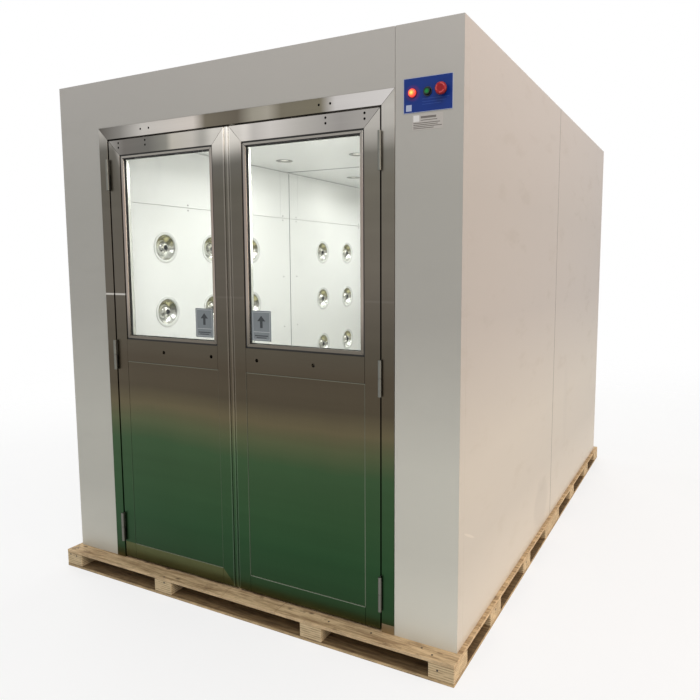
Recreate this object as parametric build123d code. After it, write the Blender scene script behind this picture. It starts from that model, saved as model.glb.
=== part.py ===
from build123d import *
import os

os.makedirs("parts", exist_ok=True)

# Cabinet
cabinet_width = 1900.0
cabinet_depth = 2760.0
cabinet_height = 2100.0
wall_thickness = 50.0
module_seam = 2.0
base_sheet = 3.0
floor_top = 30.0
plenum_height = 207.0
ceiling_height = cabinet_height - plenum_height
ceiling_thickness = 15.0
inner_wall_inset = 243.0
inner_wall_thickness = 15.0
wall_joint_drop = 283.0
wall_joint_height = ceiling_height - wall_joint_drop
wall_joint_gap = 2.0
header_seam = 1.5
cut_overrun = 1.0

# Doorway casing
pillar_width = 241.0
casing_half_width = cabinet_width / 2 - pillar_width
casing_face = 50.0
casing_drop = 195.0
casing_top = cabinet_height - casing_drop
casing_proud = 2.0
stop_width = 14.0
stop_thickness = 6.0
stop_side_gap = 1.0
stop_lap = 5.0
mitre_gap = 0.6
arm_hole_radius = 3.0
arm_hole_depth = 20.0
arm_hole_x = 436.0
arm_hole_spacing = 47.0
arm_hole_drop = 23.0

# Door leaves
leaf_thickness = 38.0
leaf_side_gap = 6.0
leaf_top_gap = 6.0
leaf_bottom = 9.0
leaf_meeting_half_gap = 3.5
outer_stile = 62.0
inner_stile = 58.0
top_rail = 62.0
window_bottom = 1004.0
mid_rail = 96.0
bottom_rail = 68.0
panel_recess = 1.0
seam_gap = 0.6
strip_width = 20.0
strip_depth = 24.0
strip_radius = 9.0
edge_bevel_across = 4.0
edge_bevel_deep = 24.0
closer_hole_radius = 3.0
closer_hole_depth = 15.0
closer_hole_outer = 59.0
closer_hole_spacing_x = 156.0
closer_hole_spacing_z = 19.0
closer_hole_drop = 22.0
handle_hole_radius = 7.0
handle_hole_spacing = 260.0
handle_hole_inner = 111.5
handle_hole_drop = 46.0

# Glass, beads and notice plates
glass_thickness = 8.0
glass_recess = 10.0
glass_edge_gap = 0.2
bead_offset = 4.0
bead_width = 14.0
bead_recess = 2.0
bead_step = 3.0
notice_width = 92.0
notice_height = 117.0
notice_thickness = 1.0
notice_side_gap = 4.0
notice_above_glass = 8.0
glass_border = 22.0

# Lift-off hinges
low_hinge_height = 146.0
mid_hinge_height = 933.0
top_hinge_drop = 142.0
hinge_length = 130.0
knuckle_gap = 1.0
knuckle_radius = 6.5
pin_radius = 3.0
pin_clearance = 0.05
pin_rise = 40.0
hinge_axis_proud = 9.5
hinge_plate = 3.0
hinge_plate_depth = 30.0

# Air nozzles
nozzle_from_joint = [377.0, 702.0, 1027.0]
nozzle_row_count = 4
nozzle_row_pitch = 313.0
top_nozzle_drop = 201.0
flange_radius = 75.0
flange_proud = 3.0
flange_edge = 2.0
cup_radius = 66.0
cup_sheet = 2.5
cup_depth = 28.0
seat_radius = 35.0
ball_radius = 36.0
ball_depth = 33.0
ball_clearance = 0.2
outlet_radius = 11.0
nozzle_hole_clearance = 1.0

# Ceiling lamps
lamp_x = 463.0
lamp_from_joint = 380.0
trim_radius = 46.0
trim_proud = 2.5
trim_bore = 36.0
trim_sheet = 3.0
lens_thickness = 3.0
lens_recess = 6.0

# Control plate, left to right: lamp, push button, emergency stop
plate_casing_gap = 32.0
plate_width = 172.0
plate_height = 110.0
plate_thickness = 1.5
control_drop = 221.0
control_height = cabinet_height - control_drop
control_above_plate_bottom = 62.0
signal_from_plate_left = 33.0
button_from_signal = 53.0
stop_from_signal = 105.0
bezel_radius = 15.0
bezel_bore = 12.0
bezel_height = 4.0
signal_dome_radius = 13.0
signal_dome_height = 9.0
button_radius = 11.5
button_height = 7.0
button_foot = 3.5
button_round = 1.5
stop_head_radius = 20.0
stop_head_height = 10.0
stop_neck_radius = 10.0
stop_neck_length = 11.0
stop_travel_gap = 5.3
stop_collar_width = 4.0
stop_collar_height = 6.0
running_gap = 0.3
label_from_plate_left = 31.0
label_width = 108.0
label_plate_gap = 6.0
label_height = 50.0
label_thickness = 0.6

# Pallets
pallet_height = 78.0
pallet_side_overhang = 16.0
pallet_end_overhang = 69.0
deck_thickness = 12.0
deck_joint = 2.0
deck_joint_left = 136.0
deck_joint_middle = 931.0
deck_joint_right = 736.0
board_thickness = 12.0
block_width = 95.0
left_block_inset = 560.0
right_block_inset = 525.0
first_row_length = 130.0
second_row_start = 392.0
second_row_length = 132.0
third_row_start = 870.0
third_row_length = 120.0
last_row_length = 159.0
pallet_seam = 2.0

half_width = cabinet_width / 2
half_depth = cabinet_depth / 2
front_y = -half_depth
inner_face_y = front_y + wall_thickness
opening_half = casing_half_width - casing_face
opening_top = casing_top - casing_face
leaf_outer = opening_half - leaf_side_gap
leaf_top = opening_top - leaf_top_gap
inner_wall_x = half_width - inner_wall_inset
seam_half = module_seam / 2
hinge_x = opening_half - hinge_plate
hinge_y = front_y - hinge_axis_proud
window_top = leaf_top - top_rail
panel_top = window_bottom - mid_rail
panel_bottom = leaf_bottom + bottom_rail
arm_hole_height = casing_top - arm_hole_drop
closer_hole_height = leaf_top - closer_hole_drop
handle_hole_height = window_bottom - handle_hole_drop
hinge_heights = [low_hinge_height, mid_hinge_height, leaf_top - top_hinge_drop]
top_nozzle_height = wall_joint_height - top_nozzle_drop
plate_left = casing_half_width + plate_casing_gap
plate_bottom = control_height - control_above_plate_bottom
signal_x = plate_left + signal_from_plate_left
button_x = signal_x + button_from_signal
stop_x = signal_x + stop_from_signal
label_left = plate_left + label_from_plate_left
label_bottom = plate_bottom - label_plate_gap - label_height
pallet_width = cabinet_width + 2 * pallet_side_overhang
pallet_length = half_depth + pallet_end_overhang


def box(x0, x1, y0, y1, z0, z1):
    """Box between two corners, with heights above the cabinet's base."""
    size = Box(x1 - x0, y1 - y0, z1 - z0)
    return Pos((x0 + x1) / 2, (y0 + y1) / 2, (z0 + z1) / 2 + pallet_height) * size


def prism(points, y0, y1):
    """Prism of an outline in X and Z, from y0 to y1."""
    corners = [(x, y0, z + pallet_height) for x, z in points]
    outline = make_face(Polyline(*corners, close=True))
    return extrude(outline, amount=y1 - y0, dir=(0, 1, 0))


def rod_y(x, z, radius, y0, y1):
    """Round bar along Y."""
    bar = Cylinder(radius, y1 - y0, rotation=(90, 0, 0))
    return Pos(x, (y0 + y1) / 2, z + pallet_height) * bar


def rod_z(x, y, radius, z0, z1):
    """Upright round bar."""
    return Pos(x, y, (z0 + z1) / 2 + pallet_height) * Cylinder(radius, z1 - z0)


def mirrored(shape):
    """The same piece on the other side of the middle."""
    return mirror(shape, about=Plane.YZ)


def turned(shape):
    """The same piece at the rear end."""
    return Rot(0, 0, 180) * shape


def save(name, shapes):
    """Write one node of one or more solids."""
    solids = [solid for shape in shapes for solid in shape.solids()]
    export_step(Compound(children=solids), f"parts/{name}.step")


# Front wall: left pillar and header in one sheet, right pillar by itself
def wall_panels():
    pillar_edge = casing_half_width
    sheet = prism(
        [
            (-half_width, 0),
            (-pillar_edge, 0),
            (-pillar_edge, casing_top),
            (pillar_edge - header_seam / 2, casing_top),
            (pillar_edge - header_seam / 2, cabinet_height),
            (-half_width, cabinet_height),
        ],
        front_y,
        inner_face_y,
    )
    pillar = box(pillar_edge + header_seam / 2, half_width, front_y, inner_face_y, 0, cabinet_height)
    return [sheet, pillar]


# Casing: two legs and a head with mitred corners and a stop behind the leaves
def casing_pieces():
    outer, inner = casing_half_width, opening_half
    top, under = casing_top, opening_top
    face_y = front_y - casing_proud
    half_gap = mitre_gap / 2
    stop_y = inner_face_y - stop_thickness
    leg = prism([(-outer, 0), (-inner, 0), (-inner, under - half_gap), (-outer, top - half_gap)], face_y, inner_face_y)
    leg += box(-inner, -inner + stop_width, stop_y, inner_face_y, 0, under - stop_width - half_gap)
    head = prism(
        [(-outer, top), (-inner, under + half_gap), (inner, under + half_gap), (outer, top)],
        face_y,
        inner_face_y,
    )
    stop_end = inner - stop_side_gap
    head += box(-stop_end, stop_end, stop_y, inner_face_y, under - stop_width, under + stop_lap)
    for side in (-1, 1):
        for step in (-0.5, 0.5):
            x = side * arm_hole_x + step * arm_hole_spacing
            head -= rod_y(x, arm_hole_height, arm_hole_radius, face_y - cut_overrun, face_y + arm_hole_depth)
    return [leg, mirrored(leg), head]


# Stiles, rails and lower panel of a leaf, the hinge side at -X
def leaf_edges(with_strip):
    outer = -leaf_outer
    inner = -leaf_meeting_half_gap
    stile_end = inner - strip_width if with_strip else inner
    return outer, inner, stile_end


def leaf_frame(with_strip):
    outer, inner, edge = leaf_edges(with_strip)
    left, right = outer + outer_stile, edge - inner_stile
    gap = seam_gap / 2
    y0, y1 = front_y, front_y + leaf_thickness
    hinge_stile = prism(
        [(outer, leaf_bottom), (left - gap, leaf_bottom), (left - gap, window_top), (outer, leaf_top - gap * 2)],
        y0,
        y1,
    )
    meeting_stile = prism(
        [(right + gap, leaf_bottom), (edge, leaf_bottom), (edge, leaf_top - gap * 2), (right + gap, window_top)],
        y0,
        y1,
    )
    rail_top = prism(
        [(outer + gap * 2, leaf_top), (left + gap, window_top), (right - gap, window_top), (edge - gap * 2, leaf_top)],
        y0,
        y1,
    )
    rail_mid = box(left + gap, right - gap, y0, y1, panel_top + gap, window_bottom)
    rail_low = box(left + gap, right - gap, y0, y1, leaf_bottom, panel_bottom - gap)
    panel = box(left + gap, right - gap, y0 + panel_recess, y1 - panel_recess, panel_bottom + gap, panel_top - gap)
    if not with_strip:
        meeting_stile -= prism_bevel(edge)
    for dx in (0, closer_hole_spacing_x):
        for dz in (-0.5, 0.5):
            x = outer + closer_hole_outer + dx
            z = closer_hole_height + dz * closer_hole_spacing_z
            hole = rod_y(x, z, closer_hole_radius, y0 - cut_overrun, y0 + closer_hole_depth)
            rail_top -= hole
            hinge_stile -= hole
    for dx in (0, handle_hole_spacing):
        x = inner - handle_hole_inner - dx
        rail_mid -= rod_y(x, handle_hole_height, handle_hole_radius, y0 - cut_overrun, y1 + cut_overrun)
    pieces = [hinge_stile, meeting_stile, rail_top, rail_mid, rail_low, panel]
    if with_strip:
        pieces.append(meeting_strip(edge + gap, inner))
    return pieces


def prism_bevel(edge):
    """Wedge that takes the back corner off the meeting edge."""
    back = front_y + leaf_thickness
    over = cut_overrun
    corners = [
        (edge + over, back + over, 0),
        (edge - edge_bevel_across, back + over, 0),
        (edge - edge_bevel_across, back, 0),
        (edge, back - edge_bevel_deep, 0),
        (edge + over, back - edge_bevel_deep, 0),
    ]
    outline = make_face(Polyline(*corners, close=True))
    return extrude(outline, amount=cabinet_height + pallet_height, dir=(0, 0, 1))


def meeting_strip(x0, x1):
    """Rounded strip down the meeting edge."""
    strip = box(x0, x1, front_y, front_y + strip_depth, leaf_bottom, leaf_top)
    front_edges = [e for e in strip.edges().filter_by(Axis.Z) if abs(e.center().Y - front_y) < 0.01]
    return fillet(front_edges, strip_radius)


def window_box(with_strip):
    outer, _, edge = leaf_edges(with_strip)
    return outer + outer_stile, edge - inner_stile


def glass_pane(with_strip):
    left, right = window_box(with_strip)
    gap = glass_edge_gap
    y0 = front_y + glass_recess
    return box(left + gap, right - gap, y0, y0 + glass_thickness, window_bottom + gap, window_top - gap)


def bead_ring(with_strip, y0, y1, step_y0, step_y1):
    """Stepped rectangular bead round the glass."""
    left, right = window_box(with_strip)
    low, high = window_bottom, window_top
    offset, inside = bead_offset, bead_offset + bead_width
    step = inside + bead_step
    ring = box(left + offset, right - offset, y0, y1, low + offset, high - offset)
    over = cut_overrun
    ring -= box(left + inside, right - inside, y0 - over, y1 + over, low + inside, high - inside)
    lip = box(left + offset, right - offset, step_y0, step_y1, low + offset, high - offset)
    lip -= box(left + step, right - step, step_y0 - over, step_y1 + over, low + step, high - step)
    return ring + lip


def beads(with_strip):
    glass_y0 = front_y + glass_recess
    glass_y1 = glass_y0 + glass_thickness
    back = front_y + leaf_thickness - bead_recess
    front_bead = bead_ring(with_strip, front_y + bead_recess, glass_y0, glass_y0 - bead_step, glass_y0)
    back_bead = bead_ring(with_strip, glass_y1, back, glass_y1, glass_y1 + bead_step)
    return [front_bead, back_bead]


def notice_plate(with_strip):
    """Plate low on the glass, next to the meeting stile."""
    left, right = window_box(with_strip)
    x1 = right - glass_border - notice_side_gap
    y1 = front_y + glass_recess
    z0 = window_bottom + glass_border + notice_above_glass
    return box(x1 - notice_width, x1, y1 - notice_thickness, y1, z0, z0 + notice_height)


# Hinge halves of the left jamb: the lower half is on the casing, the upper on the leaf
def hinge_half(z, upper):
    half = hinge_length / 2
    low, high = (z + knuckle_gap / 2, z + half) if upper else (z - half, z - knuckle_gap / 2)
    knuckle = rod_z(-hinge_x, hinge_y, knuckle_radius, low, high)
    plate_y1 = front_y + hinge_plate_depth
    if upper:
        knuckle += box(-hinge_x, -hinge_x + hinge_plate, hinge_y, plate_y1, low, high)
        bore_top = z + pin_rise + knuckle_gap
        knuckle -= rod_z(-hinge_x, hinge_y, pin_radius + pin_clearance, low - cut_overrun, bore_top)
        return knuckle
    knuckle += box(-hinge_x - hinge_plate, -hinge_x, hinge_y, plate_y1, low, high)
    return knuckle + rod_z(-hinge_x, hinge_y, pin_radius, z - half, z + pin_rise)


def hinge_halves(upper):
    return [hinge_half(z, upper) for z in hinge_heights]


# Base pan under both modules, then the front module's shell, floor, ceiling and inner walls
def outer_wall():
    return box(-half_width, -half_width + wall_thickness, inner_face_y, -seam_half, 0, cabinet_height)


def base_pan():
    edge = half_width - wall_thickness
    return box(-edge, edge, inner_face_y, -inner_face_y, 0, base_sheet)


def floor_panel():
    return box(-inner_wall_x, inner_wall_x, inner_face_y, -seam_half, base_sheet, floor_top)


def roof_panel():
    edge = half_width - wall_thickness
    return box(-edge, edge, inner_face_y, -seam_half, cabinet_height - wall_thickness, cabinet_height)


def ceiling_panel():
    edge = inner_wall_x + inner_wall_thickness
    panel = box(-edge, edge, inner_face_y, -seam_half, ceiling_height, ceiling_height + ceiling_thickness)
    for x in (-lamp_x, 0, lamp_x):
        low, high = ceiling_height - cut_overrun, ceiling_height + ceiling_thickness + cut_overrun
        panel -= rod_z(x, -lamp_from_joint, trim_bore + trim_sheet, low, high)
    return panel


def inner_wall():
    """Nozzle panel below and plain panel above, on the left."""
    x0, x1 = -inner_wall_x - inner_wall_thickness, -inner_wall_x
    half_gap = wall_joint_gap / 2
    lower = box(x0, x1, inner_face_y, -seam_half, base_sheet, wall_joint_height - half_gap)
    for y, z in nozzle_places():
        hole = Cylinder(cup_radius + nozzle_hole_clearance, 4 * inner_wall_thickness, rotation=(0, 90, 0))
        lower -= Pos(x1, y, z + pallet_height) * hole
    upper = box(x0, x1, inner_face_y, -seam_half, wall_joint_height + half_gap, ceiling_height)
    return [lower, upper]


def nozzle_places():
    rows = [top_nozzle_height - index * nozzle_row_pitch for index in reversed(range(nozzle_row_count))]
    return [(-distance, z) for distance in nozzle_from_joint for z in rows]


# Nozzle on the left inner wall: flange and cup, and a ball with an outlet
def nozzle_ring():
    profile = [
        (flange_radius, 0),
        (flange_radius, flange_proud * 0.4),
        (flange_radius - flange_edge, flange_proud),
        (cup_radius - cup_sheet, flange_proud),
        (seat_radius, -cup_depth),
        (seat_radius + cup_sheet, -cup_depth - cup_sheet),
        (cup_radius, 0),
    ]
    outline = make_face(Polyline(*[(r, 0, h) for r, h in profile], close=True))
    ring = revolve(outline, axis=Axis.Z, revolution_arc=360)
    ring -= Pos(0, 0, -ball_depth) * Sphere(ball_radius + ball_clearance)
    return ring


def nozzle_ball():
    ball = Pos(0, 0, -ball_depth) * Sphere(ball_radius)
    return ball - Cylinder(outlet_radius, 4 * ball_radius)


def on_left_wall(shape):
    """Copies at every nozzle place of the front module, with +Z turned to +X."""
    return [
        Pos(-inner_wall_x, y, z + pallet_height) * Rot(0, 90, 0) * shape
        for y, z in nozzle_places()
    ]


# Ceiling lamps of the front module
def lamp_trim(x):
    z = ceiling_height
    trim = rod_z(x, -lamp_from_joint, trim_radius, z - trim_proud, z)
    trim += rod_z(x, -lamp_from_joint, trim_bore + trim_sheet, z, z + ceiling_thickness)
    low, high = z - trim_proud - cut_overrun, z + ceiling_thickness + cut_overrun
    return trim - rod_z(x, -lamp_from_joint, trim_bore, low, high)


def lamp_lens(x):
    z = ceiling_height + lens_recess
    return rod_z(x, -lamp_from_joint, trim_bore, z, z + lens_thickness)


# Controls on the right pillar
plate_face_y = front_y - plate_thickness


def control_plate():
    return box(
        plate_left, plate_left + plate_width, plate_face_y, front_y, plate_bottom, plate_bottom + plate_height
    )


def bezels():
    rings = []
    over = cut_overrun
    bezel_y = plate_face_y - bezel_height
    for x in (signal_x, button_x):
        ring = rod_y(x, control_height, bezel_radius, bezel_y, plate_face_y)
        rings.append(ring - rod_y(x, control_height, bezel_bore, bezel_y - over, plate_face_y + over))
    bore = stop_neck_radius + running_gap
    collar_y = plate_face_y - stop_collar_height
    collar = rod_y(stop_x, control_height, bore + stop_collar_width, collar_y, plate_face_y)
    rings.append(collar - rod_y(stop_x, control_height, bore, collar_y - over, plate_face_y + over))
    return rings


def signal_lamp():
    """Lamp with a domed lens."""
    base = rod_y(signal_x, control_height, bezel_bore, plate_face_y - bezel_height, plate_face_y)
    dome = rod_y(
        signal_x,
        control_height,
        bezel_bore,
        plate_face_y - bezel_height - signal_dome_height,
        plate_face_y - bezel_height,
    )
    rim = [e for e in dome.edges() if e.center().Y < plate_face_y - bezel_height - signal_dome_height + 0.01]
    return base + fillet(rim, signal_dome_height * 0.9)


def push_button():
    y1 = plate_face_y - button_foot
    cap = rod_y(button_x, control_height, button_radius, y1 - button_height, y1)
    rim = [e for e in cap.edges() if e.center().Y < y1 - button_height + 0.01]
    return fillet(rim, button_round)


def emergency_stop():
    """Mushroom head on a neck."""
    neck_y = plate_face_y - stop_travel_gap
    neck = rod_y(stop_x, control_height, stop_neck_radius, neck_y - stop_neck_length, neck_y)
    head_y = neck_y - stop_neck_length
    head = rod_y(stop_x, control_height, stop_head_radius, head_y - stop_head_height, head_y)
    rim = [e for e in head.edges() if e.center().Y < head_y - stop_head_height + 0.01]
    return neck + fillet(rim, stop_head_height * 0.75)


def label_plate():
    return box(
        label_left, label_left + label_width, front_y - label_thickness, front_y, label_bottom, label_bottom + label_height
    )


# Front pallet, its outer end at -Y
def pallet_boxes(z0, z1, spans_x, spans_y):
    start = -pallet_length
    return [
        Pos((x0 + x1) / 2, start + (y0 + y1) / 2, (z0 + z1) / 2) * Box(x1 - x0, y1 - y0, z1 - z0)
        for x0, x1 in spans_x
        for y0, y1 in spans_y
    ]


def block_rows():
    """Rows of blocks from the outer end, the last one short of the seam between the pallets."""
    return [
        (0.0, first_row_length),
        (second_row_start, second_row_start + second_row_length),
        (third_row_start, third_row_start + third_row_length),
        (pallet_length - last_row_length, pallet_length - pallet_seam / 2),
    ]


def pallet_deck():
    edge = pallet_width / 2
    edges = [-edge, -edge + deck_joint_left, -edge + deck_joint_middle, edge - deck_joint_right, edge]
    half = deck_joint / 2
    spans = []
    for index, (x0, x1) in enumerate(zip(edges, edges[1:])):
        left = x0 if index == 0 else x0 + half
        right = x1 if index == len(edges) - 2 else x1 - half
        spans.append((left, right))
    length = pallet_length - pallet_seam / 2
    return pallet_boxes(pallet_height - deck_thickness, pallet_height, spans, [(0.0, length)])


def pallet_blocks():
    edge = pallet_width / 2
    starts = [-edge, -edge + left_block_inset, edge - right_block_inset - block_width, edge - block_width]
    columns = [(x, x + block_width) for x in starts]
    return pallet_boxes(board_thickness, pallet_height - deck_thickness, columns, block_rows())


def pallet_boards():
    """Bottom boards: a runner under each outer column, and cross boards between the runners."""
    edge = pallet_width / 2
    inner = edge - block_width
    runners = pallet_boxes(
        0, board_thickness, [(-edge, -inner), (inner, edge)], [(0.0, pallet_length - pallet_seam / 2)]
    )
    return runners + pallet_boxes(0, board_thickness, [(-inner, inner)], block_rows())


def both_sides(shapes):
    return shapes + [mirrored(shape) for shape in shapes]


def both_ends(shapes):
    return shapes + [turned(shape) for shape in shapes]


save("pallet_decks", both_ends(pallet_deck()))
save("pallet_blocks", both_ends(pallet_blocks()))
save("pallet_boards", both_ends(pallet_boards()))
save("base_pan", [base_pan()])
save("floors", both_ends([floor_panel()]))
save("outer_walls_front", both_sides([outer_wall()]))
save("outer_walls_rear", [turned(wall) for wall in both_sides([outer_wall()])])
save("roofs", both_ends([roof_panel()]))
save("ceilings", both_ends([ceiling_panel()]))

left_walls = inner_wall() + [mirrored(turned(wall)) for wall in inner_wall()]
save("inner_walls_left", left_walls)
save("inner_walls_right", [mirrored(wall) for wall in left_walls])

rings = on_left_wall(nozzle_ring())
balls = on_left_wall(nozzle_ball())
left_rings = rings + [mirrored(turned(ring)) for ring in rings]
left_balls = balls + [mirrored(turned(ball)) for ball in balls]
save("nozzle_rings_left", left_rings)
save("nozzle_rings_right", [mirrored(ring) for ring in left_rings])
save("nozzle_balls_left", left_balls)
save("nozzle_balls_right", [mirrored(ball) for ball in left_balls])

lamp_places = (-lamp_x, 0, lamp_x)
save("lamp_trims", both_ends([lamp_trim(x) for x in lamp_places]))
save("lamp_lenses", both_ends([lamp_lens(x) for x in lamp_places]))

for end in ("front", "rear"):
    place = turned if end == "rear" else (lambda shape: shape)
    save(f"{end}_wall", [place(panel) for panel in wall_panels()])
    save(f"{end}_casing", [place(piece) for piece in casing_pieces()])
    save(f"{end}_hinge_posts", [place(half) for half in both_sides(hinge_halves(upper=False))])
    for side in ("left", "right"):
        strip = side == "left"
        seat = (lambda shape: place(shape)) if strip else (lambda shape: place(mirrored(shape)))
        leaf = f"{end}_{side}"
        save(f"{leaf}_frame", [seat(piece) for piece in leaf_frame(strip)])
        save(f"{leaf}_glass", [seat(glass_pane(strip))])
        save(f"{leaf}_beads", [seat(bead) for bead in beads(strip)])
        save(f"{leaf}_notice", [seat(notice_plate(strip))])
        save(f"{leaf}_hinges", [seat(half) for half in hinge_halves(upper=True)])

save("control_plate", [control_plate()])
save("control_bezels", bezels())
save("signal_lamp", [signal_lamp()])
save("push_button", [push_button()])
save("emergency_stop", [emergency_stop()])
save("label_plate", [label_plate()])
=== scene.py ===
import logging
import math
from contextlib import contextmanager
from dataclasses import dataclass, field
from enum import Enum
from functools import reduce
from typing import Any, Callable, Iterable, Iterator, Sequence, Union

import bmesh
import bpy
from mathutils import Matrix, Vector


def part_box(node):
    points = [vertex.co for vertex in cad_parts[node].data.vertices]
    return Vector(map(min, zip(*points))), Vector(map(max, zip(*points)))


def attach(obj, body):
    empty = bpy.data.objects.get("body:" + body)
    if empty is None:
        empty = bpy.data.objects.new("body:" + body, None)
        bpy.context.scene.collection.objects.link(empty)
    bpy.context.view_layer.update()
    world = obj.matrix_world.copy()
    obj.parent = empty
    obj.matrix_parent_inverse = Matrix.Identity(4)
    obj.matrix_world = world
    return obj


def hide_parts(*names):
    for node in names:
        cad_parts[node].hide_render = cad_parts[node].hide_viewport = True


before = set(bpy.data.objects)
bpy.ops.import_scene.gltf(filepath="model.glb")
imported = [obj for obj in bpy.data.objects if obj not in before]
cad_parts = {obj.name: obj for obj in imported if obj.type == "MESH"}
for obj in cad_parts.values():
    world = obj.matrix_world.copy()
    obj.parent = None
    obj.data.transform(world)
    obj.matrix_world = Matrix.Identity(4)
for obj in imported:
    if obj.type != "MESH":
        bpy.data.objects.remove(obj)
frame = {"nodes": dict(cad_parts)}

logging.basicConfig(level=logging.INFO, format="%(message)s")
log = logging.getLogger("air_shower")

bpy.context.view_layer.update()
Colour = tuple[float, float, float, float]
Point = tuple[float, float, float]
Socket = bpy.types.NodeSocket
Stop = tuple[float, Colour]
Bar = tuple[float, float, float, float]

# Tolerance in metres when an edge or a face is picked by its place
NEAR = 0.0005
# Distance in metres below which the corners of a CAD node's mesh are merged
MERGE = 0.00002


class End(Enum):
    """The two ends of the cabin, as their nodes are named."""

    FRONT = "front"
    REAR = "rear"


class Side(Enum):
    """Left and right, seen from outside a doorway, and for the inner walls from the front."""

    LEFT = "left"
    RIGHT = "right"


class Turn(Enum):
    """Which way a rod or a copied piece points, as its turns about X and Y."""

    UP = (0.0, 0.0)
    TO_FRONT = (math.radians(90), 0.0)
    TO_REAR = (math.radians(-90), 0.0)
    TO_RIGHT = (0.0, math.radians(90))
    TO_LEFT = (0.0, math.radians(-90))
    DOWN = (math.radians(180), 0.0)

    def at(self, place: Point) -> Matrix:
        """Places a piece that was made pointing up at the origin.

        Args:
            place: Where its origin goes.

        Returns:
            The placing matrix.
        """
        spin_x, spin_y = self.value
        turn = Matrix.Rotation(spin_y, 4, "Y") @ Matrix.Rotation(spin_x, 4, "X")
        return Matrix.Translation(place) @ turn


def linear(value: int) -> float:
    """Linear share of one 8-bit screen value."""
    share = value / 255
    return share / 12.92 if share <= 0.04045 else ((share + 0.055) / 1.055) ** 2.4


def screen(red: int, green: int, blue: int) -> Colour:
    """Linear colour of an 8-bit screen colour."""
    return (linear(red), linear(green), linear(blue), 1.0)


def tones(*rows: tuple[float, int, int, int]) -> tuple[Stop, ...]:
    """Colour stops from rows of a place and an 8-bit screen colour."""
    return tuple((place, screen(*colour)) for place, *colour in rows)


# Materials


class Wire:
    """Number socket of a material, so that sums on it add Math nodes."""

    def __init__(self, shader: "NodeTree", socket: Socket) -> None:
        """Wraps a socket of the tree."""
        self.shader = shader
        self.socket = socket

    def __add__(self, other: "Number") -> "Wire":
        """Sum."""
        return self.shader.math("ADD", self, other)

    __radd__ = __add__

    def __sub__(self, other: "Number") -> "Wire":
        """Difference."""
        return self.shader.math("SUBTRACT", self, other)

    def __rsub__(self, other: "Number") -> "Wire":
        """Difference from a plain number."""
        return self.shader.math("SUBTRACT", other, self)

    def __mul__(self, other: "Number") -> "Wire":
        """Product."""
        return self.shader.math("MULTIPLY", self, other)

    __rmul__ = __mul__

    def __truediv__(self, other: "Number") -> "Wire":
        """Quotient."""
        return self.shader.math("DIVIDE", self, other)

    def __abs__(self) -> "Wire":
        """Size without sign."""
        return self.shader.math("ABSOLUTE", self)

    def __gt__(self, other: "Number") -> "Wire":
        """1 where this is greater, else 0."""
        return self.shader.math("GREATER_THAN", self, other)

    def __lt__(self, other: "Number") -> "Wire":
        """1 where this is less, else 0."""
        return self.shader.math("LESS_THAN", self, other)

    def least(self, other: "Number") -> "Wire":
        """The smaller of the two."""
        return self.shader.math("MINIMUM", self, other)

    def most(self, other: "Number") -> "Wire":
        """The larger of the two."""
        return self.shader.math("MAXIMUM", self, other)

    def within(self, centre: float, half: float) -> "Wire":
        """1 where this is within half of centre, else 0."""
        return abs(self - centre) < half

    def fade(self, start: float, end: float) -> "Wire":
        """Smooth step from 0 to 1.

        Args:
            start: Value up to which it is 0.
            end: Value from which it is 1.

        Returns:
            The step.
        """
        made = self.shader.node(
            "ShaderNodeMapRange",
            {"interpolation_type": "SMOOTHSTEP", "clamp": True},
            {0: self, 1: start, 2: end, 3: 0.0, 4: 1.0},
        )
        return Wire(self.shader, made.outputs[0])


Number = Union[Wire, float]
Feed = Union[Wire, Socket, float, tuple]


class NodeTree:
    """Node tree of a material or the world, emptied first."""

    def __init__(self, tree: bpy.types.NodeTree) -> None:
        """Empties the tree."""
        self.tree = tree
        self.tree.nodes.clear()

    def node(
        self, kind: str, settings: dict[str, Any] | None = None, sockets: dict[Any, Feed] | None = None
    ) -> bpy.types.Node:
        """Adds any node.

        Args:
            kind: Blender's type name.
            settings: Properties, set first. "stops" holds a ramp's stops.
            sockets: Values or links by input name or number.

        Returns:
            The new node.
        """
        made = self.tree.nodes.new(kind)
        for name, value in (settings or {}).items():
            if name == "stops":
                self.set_stops(made.color_ramp, value)
            else:
                setattr(made, name, value)
        for key, value in (sockets or {}).items():
            source = value.socket if isinstance(value, Wire) else value
            if isinstance(source, Socket):
                self.tree.links.new(source, made.inputs[key])
            else:
                made.inputs[key].default_value = source
        return made

    @staticmethod
    def set_stops(ramp: bpy.types.ColorRamp, stops: Sequence[Stop]) -> None:
        """Replaces a ramp's stops.

        Args:
            ramp: The ramp of a node.
            stops: Places and colours in order.
        """
        while len(ramp.elements) > 1:
            ramp.elements.remove(ramp.elements[-1])
        ramp.elements[0].position, ramp.elements[0].color = stops[0]
        for position, colour in stops[1:]:
            ramp.elements.new(position).color = colour

    def math(self, operation: str, *values: Number) -> Wire:
        """Adds a Math node.

        Args:
            operation: Blender's name of the sum.
            values: Its inputs in order.

        Returns:
            The result.
        """
        made = self.node("ShaderNodeMath", {"operation": operation}, dict(enumerate(values)))
        return Wire(self, made.outputs[0])

    def length(self, first: Wire, second: Wire) -> Wire:
        """Length of the line that has these two sides at a right angle."""
        return self.math("SQRT", first * first + second * second)

    def blend(self, share: Wire, first: Socket, second: Socket) -> Socket:
        """Mix of two shaders, by share of the second."""
        return self.node("ShaderNodeMixShader", {}, {0: share, 1: first, 2: second}).outputs[0]

    def sharp_rays(self) -> Wire:
        """Rays that show the background sharply.

        Returns:
            1 for rays from the camera, off shiny metal or through glass, else 0.
        """
        path = self.node("ShaderNodeLightPath").outputs
        kinds = ("Is Camera Ray", "Is Glossy Ray", "Is Transmission Ray")
        return reduce(Wire.most, [Wire(self, path[kind]) for kind in kinds])


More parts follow.
